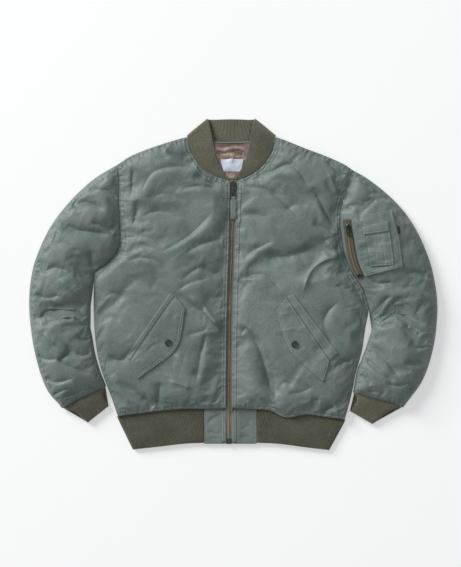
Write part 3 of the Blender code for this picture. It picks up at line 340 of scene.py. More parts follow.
# %% Soft dents and slow changes of tone
NOISE = (0.3, 0.7)       # nearly all of the noise lies between these
MOST_NOISE = (0.36, 0.64)    # and most of it between these
dents, given, out = group("dents", [("Size", 0.02), ("Detail", 3.0)], ["Height"])
place = add(dents, "TexCoord")
size = add(dents, "Math", [(0, 1.0), (1, given.outputs["Size"])], operation="DIVIDE")
cloud = add(dents, "TexNoise", [("Vector", place.outputs["Object"]), ("Scale", size.outputs[0]),
                                ("Detail", given.outputs["Detail"]), ("Roughness", 0.55)])
dents.links.new(cloud.outputs["Fac"], out.inputs["Height"])
print("groups", [tree.name for tree in bpy.data.node_groups])


# %% A cloth finish
def cloth(name, colour, shade, roughness, sheen, pitch, yarn_height, dent_size, dent_height,
          tone_size=0.09, sheen_roughness=0.4, specular=0.5, rough_spread=0.08):
    """colour is where the cloth is lightest and shade where it is darkest, sRGB.

    pitch is from yarn to yarn; it, the heights and the sizes are in metres."""
    material = plain_material(name, colour, roughness)
    tree = material.node_tree
    shader = tree.nodes["Principled BSDF"]
    shader.inputs["Sheen Weight"].default_value = sheen
    shader.inputs["Sheen Roughness"].default_value = sheen_roughness
    shader.inputs["Specular IOR Level"].default_value = specular
    tone = add(tree, "Group", node_tree=dents)
    tone.inputs["Size"].default_value = tone_size
    share = ranged(tree, tone.outputs[0], MOST_NOISE)
    mix = add(tree, "Mix", [("Factor", share)], data_type="RGBA")
    mix.inputs["A"].default_value = linear(shade)
    mix.inputs["B"].default_value = linear(colour)
    spread = ranged(tree, tone.outputs[0], NOISE,
                    (roughness - rough_spread, roughness + rough_spread))
    tree.links.new(mix.outputs["Result"], shader.inputs["Base Color"])
    tree.links.new(spread, shader.inputs["Roughness"])
    soft = add(tree, "Group", node_tree=dents)
    soft.inputs["Size"].default_value = dent_size
    dent = add(tree, "Bump", [("Height", soft.outputs[0]), ("Distance", dent_height),
                              ("Strength", 1.0)])
    yarn = add(tree, "Group", node_tree=weave)
    yarn.inputs["Pitch"].default_value = pitch
    fine = add(tree, "Bump", [("Height", yarn.outputs[0]), ("Distance", yarn_height),
                              ("Strength", 1.0), ("Normal", dent.outputs[0])])
    tree.links.new(fine.outputs[0], shader.inputs["Normal"])
    return material


print("tone follows the noise from", *MOST_NOISE)


# %% Speckle
def tinted(tree, shader, value):
    """Multiply the shader's base colour by a value that changes over the surface."""
    grey = add(tree, "CombineColor", [(0, value), (1, value), (2, value)])
    mix = add(tree, "Mix", data_type="RGBA", blend_type="MULTIPLY")
    mix.inputs["Factor"].default_value = 1.0
    tree.links.new(shader.inputs["Base Color"].links[0].from_socket, mix.inputs["A"])
    tree.links.new(grey.outputs[0], mix.inputs["B"])
    tree.links.new(mix.outputs["Result"], shader.inputs["Base Color"])


def speckled(material, size, tone, rough):
    """Fine grain: yarns that catch the light unevenly."""
    tree = material.node_tree
    shader = tree.nodes["Principled BSDF"]
    grain = add(tree, "Group", node_tree=dents)
    grain.inputs["Size"].default_value = size
    tinted(tree, shader, ranged(tree, grain.outputs[0], NOISE, (1 - tone, 1 + tone)))
    dull = ranged(tree, grain.outputs[0], NOISE, (rough, -rough))
    total = add(tree, "Math", [(0, shader.inputs["Roughness"].links[0].from_socket), (1, dull)],
                operation="ADD")
    tree.links.new(total.outputs[0], shader.inputs["Roughness"])
    return material


print("grain is laid over the tone")

# %% The cloth finishes of this jacket
# name, colour, shade, roughness, sheen, yarn pitch, yarn height, dent size and dent height
NYLON = speckled(cloth("satin_nylon", (124, 133, 129), (103, 118, 112), 0.55, 0.15, 0.0009,
                       0.00002, 0.014, 0.0006, specular=0.4, tone_size=0.055), 0.0034, 0.13, 0.1)
LINING = cloth("satin_lining", (184, 158, 144), (150, 126, 112), 0.35, 0.2, 0.0008, 0.00002,
               0.009, 0.0012, tone_size=0.012, specular=0.7)
PIPING = cloth("piping", (160, 136, 122), (138, 112, 98), 0.6, 0.3, 0.0008, 0.00004, 0.006,
               0.0003)
SLEEVE_TAPE = speckled(cloth("sleeve_zip_tape", (98, 94, 76), (86, 83, 66), 0.85, 0.2, 0.0011,
                             0.00008, 0.01, 0.0003, specular=0.25), 0.0016, 0.1, 0.0)
TAPE = speckled(cloth("zip_tape", (138, 134, 114), (122, 118, 99), 0.85, 0.2, 0.0011, 0.00008,
                      0.01, 0.0003, specular=0.25), 0.0016, 0.1, 0.0)
LABEL = cloth("woven_label", (222, 227, 243), (208, 214, 232), 0.75, 0.1, 0.0007, 0.00004, 0.008,
              0.0002)
DARK_TAPE = cloth("dark_tape", (46, 50, 48), (36, 40, 38), 0.8, 0.2, 0.0009, 0.00004, 0.006,
                  0.0002)
THREAD = cloth("thread", (184, 192, 184), (164, 173, 165), 0.6, 0.3, 0.0006, 0.00004, 0.004,
               0.0001)
print("cloth finishes", NYLON.name, LINING.name, TAPE.name, LABEL.name, THREAD.name)

# %% The lining's painted shade and highlight
# each point of the lining holds a value, 0 in its deepest valley and 1 on a crest, that paints
# shade into the valleys and a faint highlight onto the crests
PAINTED_VALLEY_SHADE, PAINTED_CREST_LIGHT = 0.32, 1.1      # how bright the lining is there
lining_tree = LINING.node_tree
fold_shade = add(lining_tree, "Attribute", attribute_name="fold_shade", attribute_type="GEOMETRY")
depth = ranged(lining_tree, fold_shade.outputs["Fac"], (0.0, 1.0), (PAINTED_VALLEY_SHADE, PAINTED_CREST_LIGHT))
tinted(lining_tree, lining_tree.nodes["Principled BSDF"], depth)
print("lining", len(lining_tree.nodes), "nodes")

# %% [markdown]
# Sliders, pulls and snap caps are cast or stamped metal with a dark plating. Paint would be a
# colour with a coat; plating is metal all through, so the shader is fully metallic, and a slow
# noise stands for the places where it has rubbed and shines a little more.

# %% A metal finish
RUB = 4 * MM             # from one rubbed place to the next
PITTED = 0.00006         # metres from the plating's high places to its low ones


def metal(name, colour, worn, roughness):
    """Dark plated metal that is a little brighter where it has rubbed."""
    material = plain_material(name, colour, roughness, 1.0)
    tree = material.node_tree
    shader = tree.nodes["Principled BSDF"]
    rub = add(tree, "Group", node_tree=dents)
    rub.inputs["Size"].default_value = RUB
    mix = add(tree, "Mix", [("Factor", rub.outputs[0])], data_type="RGBA")
    mix.inputs["A"].default_value = linear(colour)
    mix.inputs["B"].default_value = linear(worn)
    tree.links.new(mix.outputs["Result"], shader.inputs["Base Color"])
    spread = ranged(tree, rub.outputs[0], (0.0, 1.0), (roughness - 0.08, roughness + 0.12))
    tree.links.new(spread, shader.inputs["Roughness"])
    bump = add(tree, "Bump", [("Height", rub.outputs[0]), ("Distance", PITTED)])
    tree.links.new(bump.outputs[0], shader.inputs["Normal"])
    return material


GUNMETAL = metal("gunmetal", (44, 50, 48), (92, 98, 95), 0.34)
print("metal finish", GUNMETAL.name)

# %% [markdown]
# ## The shell
# Front and back panels and sleeves are quilted walls: nylon outside, a thin even padding, a
# lining inside. Their creases could all be left to chance, but the eye knows a jacket by its
# large ones, so these are listed. A row is: height, the width of the side that faces the
# collar, the width of the other side, and the line from left to right. An upright crease runs
# from the hem upwards, so its first width is the side towards the wearer's right.

# %% Main creases of the right front, in millimetres
RIGHT_FRONT_CREASES = (
    (-2.6, 20, 4.2, ((-205, 197), (-177, 245), (-122, 259), (-80, 248))),
    (-2.8, 20, 4.2, ((-161, 69), (-95, 109), (-45, 160))),
    (-2.2, 15, 3.5, ((-234, 50), (-205, 58), (-172, 52), (-135, 28))),
    (-1.8, 14, 3.5, ((-150, 296), (-106, 267), (-80, 256))),
    (-2.2, 18, 3.5, ((-115, 204), (-91, 214), (-25, 211))),
    (-1.8, 13, 3.5, ((-113, 65), (-62, 91), (-25, 100))),
    (-1.6, 6, 10, ((-104, 69), (-45, 24), (-25, 43))),
    (-1.4, 5, 8, ((-117, 8), (-78, 36), (-49, 30))),
    (-1.6, 10, 2.8, ((-126, -16), (-95, 3), (-51, 14))),
    (2.2, 10, 6, ((-100, -19), (-66, -58), (-27, -100))),
    (1.6, 9, 5, ((-69, -41), (-27, -96))),
    (-1.7, 10, 2.8, ((-104, -113), (-67, -102), (-56, -94))),
    (-2.6, 14, 4.9, ((-82, -221), (-72, -160), (-58, -98))),
    (1.8, 10, 6, ((-131, -148), (-84, -199))),
    (1.6, 8, 5, ((-144, -210), (-89, -228))),
    (-2.2, 8, 8, ((-168, -272), (-163, -240), (-161, -210))),
    (-2.0, 6, 9, ((-201, -243), (-172, -272))),
    (-2.4, 7, 10, ((-278, -155), (-245, -166), (-208, -132))),
    (-2.0, 7, 12, ((-225, 186), (-222, 225), (-219, 262))),
    (-1.8, 6, 12, ((-222, 126), (-213, 160), (-212, 188))),
    (-1.6, 24, 12.6, ((-190, 185), (-150, 200), (-100, 180))),
    (-1.3, 12, 3.5, ((-200, 150), (-170, 160), (-130, 154))),
    (-1.4, 14, 3.5, ((-215, 108), (-180, 100), (-150, 80))),
    (-1.2, 9, 2.8, ((-62, 282), (-50, 262), (-30, 248))),
    (-1.5, 10, 3.5, ((-90, 240), (-60, 226), (-24, 220))),
    (-1.4, 12, 3.5, ((-285, -30), (-262, -20), (-240, -36))),
    (-1.4, 12, 3.5, ((-290, -85), (-268, -72), (-246, -84))),
)
print("right front", len(RIGHT_FRONT_CREASES), "main creases")

# %% Main creases of the left front, in millimetres
LEFT_FRONT_CREASES = (
    (-2.6, 20, 4.2, ((63, 235), (114, 262), (140, 252), (169, 208))),
    (-2.4, 17, 3.5, ((15, 214), (63, 211), (103, 186), (147, 142))),
    (-2.8, 22, 4.2, ((15, 50), (48, 76), (92, 98))),
    (-2.2, 12, 5.6, ((173, 215), (198, 168), (224, 120))),
    (-1.8, 12, 2.8, ((169, 131), (195, 126), (224, 113))),
    (1.6, 8, 6, ((202, 98), (235, 58))),
    (2.6, 10, 7, ((151, -23), (169, 28), (202, 54), (235, 58))),
    (-2, 13, 3.5, ((15, 14), (70, 19), (109, -16))),
    (-3.4, 9, 7, ((85, -243), (72, -188), (54, -133), (30, -93))),
    (-1.8, 9, 3.5, ((15, -111), (30, -93))),
    (-2.4, 12, 6.3, ((224, -144), (200, -92), (208, -60), (235, -34))),
    (-1.6, 10, 3.5, ((202, 274), (235, 241), (250, 248))),
    (1.4, 7, 5, ((206, 248), (230, 197))),
    (-2.0, 5, 7, ((169, -252), (191, -254))),
    (-2.0, 6, 6, ((191, -285), (208, -272), (224, -265))),
    (-2, 22, 11.2, ((92, -245), (110, -215), (135, -225))),
    (-2, 16, 4.9, ((92, -255), (88, -200), (72, -140))),
    (-1.4, 12, 3.5, ((110, 160), (140, 176), (165, 168))),
    (-1.5, 14, 3.5, ((20, 152), (60, 150), (110, 118))),
    (-1.8, 14, 16, ((62, 62), (120, 62), (190, 84))),
    (-1.4, 9, 2.8, ((30, 252), (50, 268), (62, 286))),
    (-1.5, 10, 3.5, ((18, 226), (50, 232), (86, 252))),
    (-1.3, 12, 3.5, ((224, 0), (240, -10), (262, -6))),
    (-1.5, 12, 3.5, ((232, -180), (246, -168), (262, -172))),
    (-1.3, 10, 3.5, ((118, -240), (150, -236), (176, -222))),
)
print("left front", len(LEFT_FRONT_CREASES), "main creases")

# %% Main creases of the sleeves, in millimetres
RIGHT_SLEEVE_CREASES = (
    (-4.5, 7, 9, ((-432, -76), (-381, -54), (-320, -43))),
    (-3, 14, 4.2, ((-428, -95), (-381, -76), (-315, -68))),
    (-3.0, 9, 12, ((-381, 124), (-320, 116), (-262, 108))),
    (-2.2, 12, 3.5, ((-315, 138), (-284, 126), (-262, 110))),
    (-2.2, 6, 8, ((-309, 32), (-313, 55), (-315, 76))),
    (2.2, 10, 7, ((-381, 14), (-356, -8), (-329, -30))),
    (1.8, 8, 6, ((-436, -89), (-412, -112), (-386, -133))),
    (-2.4, 10, 4.2, ((-392, -111), (-359, -144), (-377, -170), (-304, -199))),
    (-2, 9, 3.5, ((-381, -252), (-337, -234), (-293, -221))),
    (-1.6, 9, 3.5, ((-350, -60), (-335, -84), (-317, -92))),
    (-1.6, 8, 2.8, ((-346, -110), (-330, -122), (-312, -118))),
    (-1.6, 8, 2.8, ((-348, -150), (-330, -156), (-309, -146))),
    (-1.6, 12, 3.5, ((-420, 20), (-395, 36), (-360, 30))),
    (-1.6, 14, 3.5, ((-400, 90), (-366, 86), (-336, 66))),
    (-1.6, 12, 3.5, ((-360, 165), (-320, 176), (-280, 160))),
    (-1.6, 12, 3.5, ((-320, 205), (-290, 208), (-262, 196))),
    (-1.5, 12, 3.5, ((-436, -20), (-410, -30), (-376, -22))),
    (-1.6, 12, 3.5, ((-440, -150), (-410, -165), (-384, -160))),
    (-1.6, 12, 3.5, ((-420, -200), (-390, -215), (-350, -205))),
    (-1.4, 8, 2.8, ((-398, -244), (-372, -232), (-352, -228))),
)
LEFT_SLEEVE_CREASES = (
    (-1.8, 8, 4.2, ((246, 175), (252, 205), (261, 234))),
    (-1.8, 9, 3.5, ((237, 146), (261, 172), (279, 168))),
    (-1.6, 8, 3.5, ((279, 160), (296, 176), (312, 186))),
    (-4.6, 8, 7, ((318, -82), (345, -64), (362, -54), (380, -80), (411, -118))),
    (-2.6, 9, 3.5, ((307, -76), (334, -34), (352, -26))),
    (-2.4, 10, 3.5, ((331, -70), (362, -34), (393, -66), (420, -92))),
    (-2.2, 9, 3.5, ((312, -97), (349, -86), (367, -94), (400, -126))),
    (-2.4, 9, 4.2, ((285, -159), (323, -192), (356, -214))),
    (-2.2, 9, 8, ((305, -133), (340, -170), (367, -210))),
    (-1.8, 8, 3.5, ((292, -232), (314, -236), (336, -241))),
    (-1.6, 12, 3.5, ((372, 20), (400, 26), (430, 10))),
    (-1.6, 12, 3.5, ((300, 10), (320, 2), (352, 6))),
    (-1.6, 12, 3.5, ((366, -10), (396, -6), (430, -24))),
    (-1.5, 10, 3.5, ((380, -130), (404, -140), (430, -136))),
    (-1.6, 12, 3.5, ((372, -170), (396, -176), (420, -172))),
    (-1.6, 10, 3.5, ((330, -214), (356, -222), (392, -214))),
    (-1.4, 8, 2.8, ((276, -196), (290, -206), (304, -222))),
    (-1.6, 12, 3.5, ((290, 196), (320, 200), (344, 182))),
)
print("sleeves", len(RIGHT_SLEEVE_CREASES), "and", len(LEFT_SLEEVE_CREASES), "main creases")

# %% Faint creases between the main ones
BOW = 0.3                # how far a faint crease bends, as a share of half its length
SUNKEN = 0.6             # share of the faint creases that sink


def strewn(seed, box, number, slant, sizes=(10, 32), heights=(0.35, 1.0), spread=34):
    """The same faint creases every run, most of them within the spread of one slant."""
    chance = random.Random(seed)
    low, high = box
    rows = []
    for _ in range(number):
        x = chance.uniform(low[0], high[0])
        y = chance.uniform(low[1], high[1])
        turn = math.radians(slant + chance.gauss(0, spread))
        half = chance.uniform(*sizes)
        bow = chance.uniform(-BOW, BOW) * half
        ahead = Vector((math.cos(turn), math.sin(turn))) * half
        beside_it = Vector((-ahead.y, ahead.x)).normalized() * bow
        line = ((x - ahead.x, y - ahead.y), (x + beside_it.x, y + beside_it.y),
                (x + ahead.x, y + ahead.y))
        if line[0][0] > line[2][0]:
            line = line[::-1]
        height, steep, gentle = (chance.uniform(*heights), chance.uniform(1.8, 3.2),
                                 chance.uniform(5, 11))
        if chance.random() < SUNKEN:
            rows.append((-height, gentle, steep, line))
        else:
            rows.append((height, steep, gentle, line))
    return tuple(rows)


print("a faint crease, for trial", strewn(1, ((0, 0), (9, 9)), 1, 0)[0][:3])

# %% [markdown]
# Wherever nylon is sewn, the thread gathers it, and small pleats start at the seam and run
# square to it. They could be rows in a table, but there are hundreds. So each point of the
# cloth looks up the nearest point of the seam and takes its height from a noise there: points
# in a line square to the seam share one height, and a pleat is the result.

# %% Where a wall's top turns down
STEEP = math.radians(45)     # the edge is at least this sharp
FACES_UP = 0.4               # and one of its faces looks up at least this much


def upper_rim(made, spacing=2.5 * MM):
    """Points along the edge where a wall's top turns down into its side."""
    found = []
    for edge in made.edges:
        if len(edge.link_faces) != 2 or edge.calc_face_angle(0) < STEEP:
            continue
        if max(face.normal.z for face in edge.link_faces) < FACES_UP:
            continue
        a, b = [v.co for v in edge.verts]
        steps = max(1, round((b - a).length / spacing))
        found += [a.lerp(b, k / steps) for k in range(steps)]
    return found


def plan_tree(places):
    """A search tree that finds the nearest of these places, as seen from above."""
    tree = KDTree(len(places))
    for i, place in enumerate(places):
        tree.insert((place[0], place[1], 0), i)
    tree.balance()
    return tree


def distance_to_points(co, places):
    """How far each row of co is from the nearest of these places, as seen from above."""
    tree = plan_tree(places)
    return np.array([tree.find((p[0], p[1], 0))[2] for p in co])


print("a rim turns down by", round(math.degrees(STEEP)), "degrees or more")


# %% Puckers along the seams
ALL_GONE = 4             # puckers have died down at this many times their reach
SEWN_FLAT = 2.0 * MM     # beside the seam they rise over this length


def varied(places, often, away=(0, 0, 0)):
    """A noise from -1 to 1 at each place; often is how many times it changes in a metre."""
    return [noise.noise(Vector(place) * often + Vector(away)) for place in places]


def seam_puckers(co, rim_points, height, reach, grain=150.0):
    """Small pleats that start at the seam and run square to it, each of its own length.

    Gives their heights, and how far each point is from the seam."""
    tree = plan_tree(rim_points)
    pleat = varied(rim_points, grain)
    length = [0.55 + 0.9 * abs(share) for share in varied(rim_points, 37.0, (7, 3, 1))]
    total = np.zeros(len(co))
    near = np.full(len(co), 1.0)
    for i, point in enumerate(co):
        _, k, far = tree.find((point[0], point[1], 0))
        near[i] = far
        if far < ALL_GONE * reach:
            rise = min(1.0, far / SEWN_FLAT)
            total[i] = height * pleat[k] * rise * math.exp(-(far / (reach * length[k])) ** 2)
    return total, near


print("puckers start", SEWN_FLAT * 1000, "mm from the seam")

# %% Gathers
THIN = 0.16              # how narrow a gather is, as a share of the noise that places it
LEAN = 0.25              # how much it turns away from square over its reach
GATHER_GONE = 3.5        # gathers have died down at this many times their reach
GATHER_FLAT = 2.5 * MM   # beside the seam they rise over this length


def crisp_pleats(co, rim_points, height, reach):
    """Thin raised lines that run square to a seam, where the sewing has gathered the cloth."""
    tree = plan_tree(rim_points)
    ridge = varied(rim_points, 95.0)
    length = [0.35 + 1.5 * abs(share) for share in varied(rim_points, 61.0, (3, 9, 2))]
    lean = [0.5 * share for share in varied(rim_points, 23.0, (5, 1, 8))]
    total = np.zeros(len(co))
    near = np.full(len(co), 1.0)
    for i, point in enumerate(co):
        _, k, far = tree.find((point[0], point[1], 0))
        near[i] = far
        if far < GATHER_GONE * reach:
            bent = ridge[k] + lean[k] * far / reach * LEAN
            line = math.exp(-(bent / THIN) ** 2)
            rise = min(1.0, far / GATHER_FLAT)
            total[i] = height * line * rise * math.exp(-(far / (reach * length[k])) ** 2)
    return total, near


print("gathers are", THIN, "of the noise wide")


# %% What a panel's creases add
SIDEWAYS, TURNING = 0.15, 0.5        # where a wall's top begins, and how soon it is all top
AT_SEAM, FROM_SEAM = 0.1, 5 * MM     # a tenth of a crease at the seam, all of it from here


def lying_on_top(piece):
    """1 where a point faces up, 0 where it faces sideways or down."""
    return np.clip((normals_of(piece)[:, 2] - SIDEWAYS) / TURNING, 0, 1)


def rise_of(co, creases, near, sharp=1.2):
    """What a panel's creases add at these points; they die down close to its seams."""
    rise = np.zeros(len(co))
    for height, one, other, line in creases:
        rise = rise + crease_height(co, height, one, other, line, sharp)
    return rise * np.clip(near / FROM_SEAM, AT_SEAM, 1)


print("crease rows are height, one width, the other width and a line")

# %% [markdown]
# ## Where it is sewn
# Every seam of the shell is stitched once more on top, mostly in two rows. A bump in the
# finish could stand for them, but real rows pull the cloth down and catch the light from the
# side. The rows are lines beside the seams, so each is a table of the seam's points and a
# distance to its left. The cloth sinks along a row, and the threads are laid in it at the end.

# %% Seams, and the rows of stitching beside them, in millimetres
MIDDLE_X, MIDDLE_Y = 1.4, 1.25       # where the frame's middle lies against these tables
RIGHT_NECK = ((-29, 231.5), (-48, 238.5), (-69, 252.5), (-88, 279), (-100, 302.5), (-102, 322.5))
LEFT_NECK = ((24, 232), (41, 241), (62, 256.5), (78.5, 278), (88.5, 298.5), (90, 322.5))
RIGHT_ARMHOLE = ((-257, 261), (-252, 233), (-253, 185), (-250, 121), (-251, 84), (-266, 59),
                 (-288, 37), (-308, 25))
LEFT_ARMHOLE = ((260, 250), (251, 218), (238, 178), (233, 143), (238, 86), (249, 46), (268, 11),
                (286, -18), (297, -57))
RIGHT_HEM = ((-66, -274), (-113, -274), (-162, -278), (-255, -290))
LEFT_HEM = ((50, -275), (84, -276), (95, -288), (115, -294), (138, -291), (156, -285),
            (198, -291), (243, -297))
RIGHT_OPENING, LEFT_OPENING = ((-130, -26), (-228, -167)), ((114, -29), (209, -168))
RIGHT_FREE = ((-107, -54), (-113, -92), (-118, -121), (-132, -149), (-172, -179), (-212, -208))
LEFT_FREE = ((92, -57), (98, -82), (105, -105), (123, -148), (158, -182), (195, -215))
RIGHT_WELT, LEFT_WELT = ((-140, -19), (-238, -160)), ((130, -22), (228, -152))
PATCH_TOP, PATCH_LOW = ((256.5, 144), (345, 165)), ((286.5, 16), (369, 37))
PATCH_SIDE = ((345, 165), (353, 130), (362, 97), (369, 37))
PATCH_INNER = ((256.5, 144), (264.5, 88), (272.5, 48), (286.5, 16))
print("openings", RIGHT_OPENING, LEFT_OPENING)

# %% Each row: a line, and how far to its left
FRONT_ROWS = {
    "front_right": [(RIGHT_NECK, 4), (RIGHT_NECK, 11), (RIGHT_ARMHOLE, 5), (RIGHT_ARMHOLE, 13),
                    (RIGHT_HEM, -3.5)],
    "front_left": [(LEFT_NECK, -4), (LEFT_NECK, -11), (LEFT_ARMHOLE, -3.5), (LEFT_ARMHOLE, -10),
                   (LEFT_HEM, 3.5)],
    "sleeve_right": [], "sleeve_left": [], "back_panel": [],
}
FLAP_ROWS = {
    "right": [(RIGHT_FREE, -2.4), (RIGHT_FREE, -7), (RIGHT_OPENING, 3),
              (((-129, -31), (-110, -54)), 0), (((-213, -203), (-226, -169)), 0)],
    "left": [(LEFT_FREE, 2.4), (LEFT_FREE, 7), (LEFT_OPENING, -3),
             (((113, -34), (95, -57)), 0), (((196, -210), (207, -170)), 0)],
}
WELT_ROWS = {"right": [(RIGHT_WELT, 2.2)], "left": [(LEFT_WELT, -2.2)]}
PATCH_ROWS = [(PATCH_TOP, -2.4), (PATCH_TOP, -7), (PATCH_SIDE, -2.4), (PATCH_LOW, 2.4),
              (PATCH_LOW, 7), (PATCH_INNER, 2.4)]
PEN_ROWS = [(((287.5, 107), (297, 40)), 1.5), (((305, 107), (314.5, 41)), 0),
            (((322, 112), (332, 42)), 0), (((338, 118), (349.5, 44)), -1.5),
            (((297, 38), (350, 42)), 2), (((293.5, 64), (347, 67)), 0)]
BAND_ROWS = [(((279, 125), (337, 140)), -2), (((282, 108), (338, 116)), 2)]
TAB_ROWS = {
    "right": [(((-62, -280), (-62, -349)), 0), (((-24, -280), (-24, -349)), 0),
              (((-62, -278), (-22, -278)), 0)],
    "left": [(((46, -280), (46, -349)), 0), (((8, -280), (7, -349)), 0),
             (((9, -278), (46, -278)), 0)],
}
print("rows on the fronts", {k: len(v) for k, v in FRONT_ROWS.items()})

# %% Sink the cloth along its rows
SEAM_SIDE = 17 * MM      # a row further than this from its panel's seam leaves no groove


def alongside(points, by=0.0, count=120):
    """Even points of a path that runs so many millimetres to the left of a line."""
    path = curve_through(points, count) + np.array((MIDDLE_X, MIDDLE_Y)) * MM
    ahead = np.gradient(path, axis=0)
    ahead /= np.linalg.norm(ahead, axis=1)[:, None]
    return path + by * MM * np.stack((-ahead[:, 1], ahead[:, 0]), 1)


def sunk_along(co, rows, depth=0.7, wide=1.5, to_rim=None):
    """How much lower the cloth lies on its rows of stitching."""
    total = np.zeros(len(co))
    for points, by in rows:
        path = alongside(points, by, 24)
        low, high = path.min(0) - 3 * wide * MM, path.max(0) + 3 * wide * MM
        inside = ((co[:, :2] > low) & (co[:, :2] < high)).all(1)
        if to_rim is not None:
            inside &= to_rim < SEAM_SIDE
        near = np.flatnonzero(inside)
        if len(near):
            far, _ = beside(co[near], path)
            total[near] = np.minimum(total[near],
                                     -depth * MM * np.exp(-(far / (wide * MM)) ** 2))
    return total


print("neck seam", round(np.linalg.norm(np.diff(alongside(RIGHT_NECK), axis=0), axis=1).sum(), 3),
      "m on one side")

# %% [markdown]
# Padded nylon is always a little longer than the wall that it covers, so it buckles. That is
# what a short cloth simulation does here: the top of each wall is grown by a few percent while
# its seams are held, and a slight pressure stands for the padding. The main creases are laid
# before, so that the cloth buckles along them, and once more after, so that they stay crisp.

# %% Let the top of a wall buckle
GROWTH = 0.026           # how much longer the nylon is than its wall
PADDING = 0.55           # pressure of the padding
STIFF = 0.5              # resistance to bending
STRETCH, SHEAR = 12, 4   # resistance to being stretched or pressed, and to being skewed
DAMPING = 8              # how soon it comes to rest
MASS = 0.15              # of each point
MOST = 8.0               # no point moves further than this, in millimetres
LAST_FRAME = 18


def settled(piece, free):
    """Points of the piece after a short cloth simulation; free is 1 where a point may move."""
    held = piece.vertex_groups.new(name="held")
    for i, share in enumerate(free):
        held.add([i], 1.0 - float(share), "REPLACE")
    before = points_of(piece)
    modifier = piece.modifiers.new("settle", "CLOTH")
    settings = modifier.settings
    settings.quality = 5
    settings.mass = MASS
    settings.tension_stiffness = settings.compression_stiffness = STRETCH
    settings.shear_stiffness = SHEAR
    settings.bending_stiffness = STIFF
    settings.tension_damping = settings.compression_damping = DAMPING
    settings.vertex_group_mass = "held"
    settings.effector_weights.gravity = 0
    settings.shrink_min = -GROWTH
    settings.use_pressure = True
    settings.uniform_pressure_force = PADDING
    modifier.collision_settings.use_collision = False
    modifier.point_cache.frame_start = 1
    modifier.point_cache.frame_end = LAST_FRAME
    for number in range(1, LAST_FRAME + 1):
        bpy.context.scene.frame_set(number)
    after = points_of(piece.evaluated_get(bpy.context.evaluated_depsgraph_get()))
    piece.modifiers.clear()
    bpy.context.scene.frame_set(1)
    move = after - before
    far = np.linalg.norm(move, axis=1)
    move *= np.minimum(1, MOST * MM / np.maximum(far, 1e-9))[:, None]
    print(piece.name, "moved up to", round(far.max() * 1000, 1), "mm")
    return before + move


print("the nylon grows by", round(GROWTH * 100, 1), "percent in", LAST_FRAME, "frames")


# %% Finer faces where a panel needs them
def split_where(piece, wanted, smooth=0):
    """Split the faces whose corners are all wanted into four, then smooth the wanted points."""
    made = bmesh.new()
    made.from_mesh(piece.data)
    made.verts.ensure_lookup_table()
    mark = made.verts.layers.int.new("wanted")
    for vertex, chosen in zip(made.verts, wanted):
        vertex[mark] = int(chosen)
    edges = [e for e in made.edges if all(v[mark] for v in e.verts)]
    cut = bmesh.ops.subdivide_edges(made, edges=edges, cuts=1, use_grid_fill=True)
    fresh = [e for e in cut["geom_inner"] if isinstance(e, bmesh.types.BMVert)]
    chosen = list({*fresh, *(v for v in made.verts if v[mark])})
    for _ in range(smooth):
        bmesh.ops.smooth_vert(made, verts=chosen, factor=0.5, use_axis_x=True, use_axis_y=True,
                              use_axis_z=True)
    made.verts.layers.int.remove(mark)
    made.to_mesh(piece.data)
    made.free()
    piece.data.update()


print("wanted faces are split into four")

# %% Which faces those are
CREASE_SIDE = 4.5 * MM       # faces are made finer this far from a main crease
SEAM_PLEATS = 10 * MM        # and this far from a seam
HARDLY_UP, RATHER_UP = 0.1, 0.3      # how much of a point's normal looks up


def near_creases(piece, creases, to_rim):
    """True at the top's points that are along the main creases or beside a seam."""
    co = points_of(piece)
    up = normals_of(piece)[:, 2]
    wanted = (to_rim < SEAM_PLEATS) & (up > RATHER_UP)
    for _, _, _, line in creases:
        path = curve_through(line)
        low, high = path.min(0) - CREASE_SIDE, path.max(0) + CREASE_SIDE
        some = np.flatnonzero(((co[:, :2] > low) & (co[:, :2] < high)).all(1) & ~wanted)
        if len(some):
            far, _ = beside(co[some], path)
            wanted[some[np.abs(far) < CREASE_SIDE]] = True
    return wanted & (up > HARDLY_UP)


print("finer within", CREASE_SIDE * 1000, "mm of a main crease")

# %% [markdown]
# A sleeve and a cuff are tubes for an arm, though they lie flat. A boolean could hollow them,
# but it would cut through the creased outside as well. So the smooth solid is copied once more,
# drawn in by the thickness of the cloth and turned inside out, and laid inside the creased one.

# %% The inside wall of a sleeve or a cuff
INSIDE_HEIGHT = 0.8      # how high the inside wall is, as a share of the outside one


def hollow(piece, node, inset=2.0 * MM, floor_gap=0.6 * MM):
    """Add a tube's inside wall, so that it is cloth all round and not one thick block."""
    made = copy_of(node)
    made.normal_update()
    lowest = min(v.co.z for v in made.verts)
    ways = [v.normal.copy() for v in made.verts]
    for vertex, way in zip(made.verts, ways):
        vertex.co.x -= way.x * inset
        vertex.co.y -= way.y * inset
        vertex.co.z = lowest + floor_gap + (vertex.co.z - lowest) * INSIDE_HEIGHT
    bmesh.ops.reverse_faces(made, faces=made.faces)
    made.from_mesh(piece.data)
    made.to_mesh(piece.data)
    made.free()


print("sleeves keep", round((1 - INSIDE_HEIGHT) * 100), "percent of their height for cloth")


# %% Read a piece's heights, and give it its finish and its place in the jacket
def tree_of(piece):
    """A search tree of the piece's faces, to read heights from."""
    made = bmesh.new()
    made.from_mesh(piece.data)
    tree = BVHTree.FromBMesh(made)
    made.free()
    return tree


def dress(piece, node, material, body="jacket"):
    """Give a piece its finish, and let it stand for its node on that node's body."""
    piece.data.materials.clear()
    piece.data.materials.append(material)
    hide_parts(node)
    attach(piece, body)
    return piece


EASE = 10                # millimetres over which a crease dies down beside such a line


def off_the_spots(co, spots):
    """1 away from the lines in spots and 0 on them: each is (reach in mm, line)."""
    free = np.ones(len(co))
    for reach, line in spots:
        far, _ = beside(co, curve_through(line))
        free *= np.clip((np.abs(far) / MM - reach) / EASE, 0, 1)
    return free


print("nylon goes on", len(FRONT_ROWS), "panels")

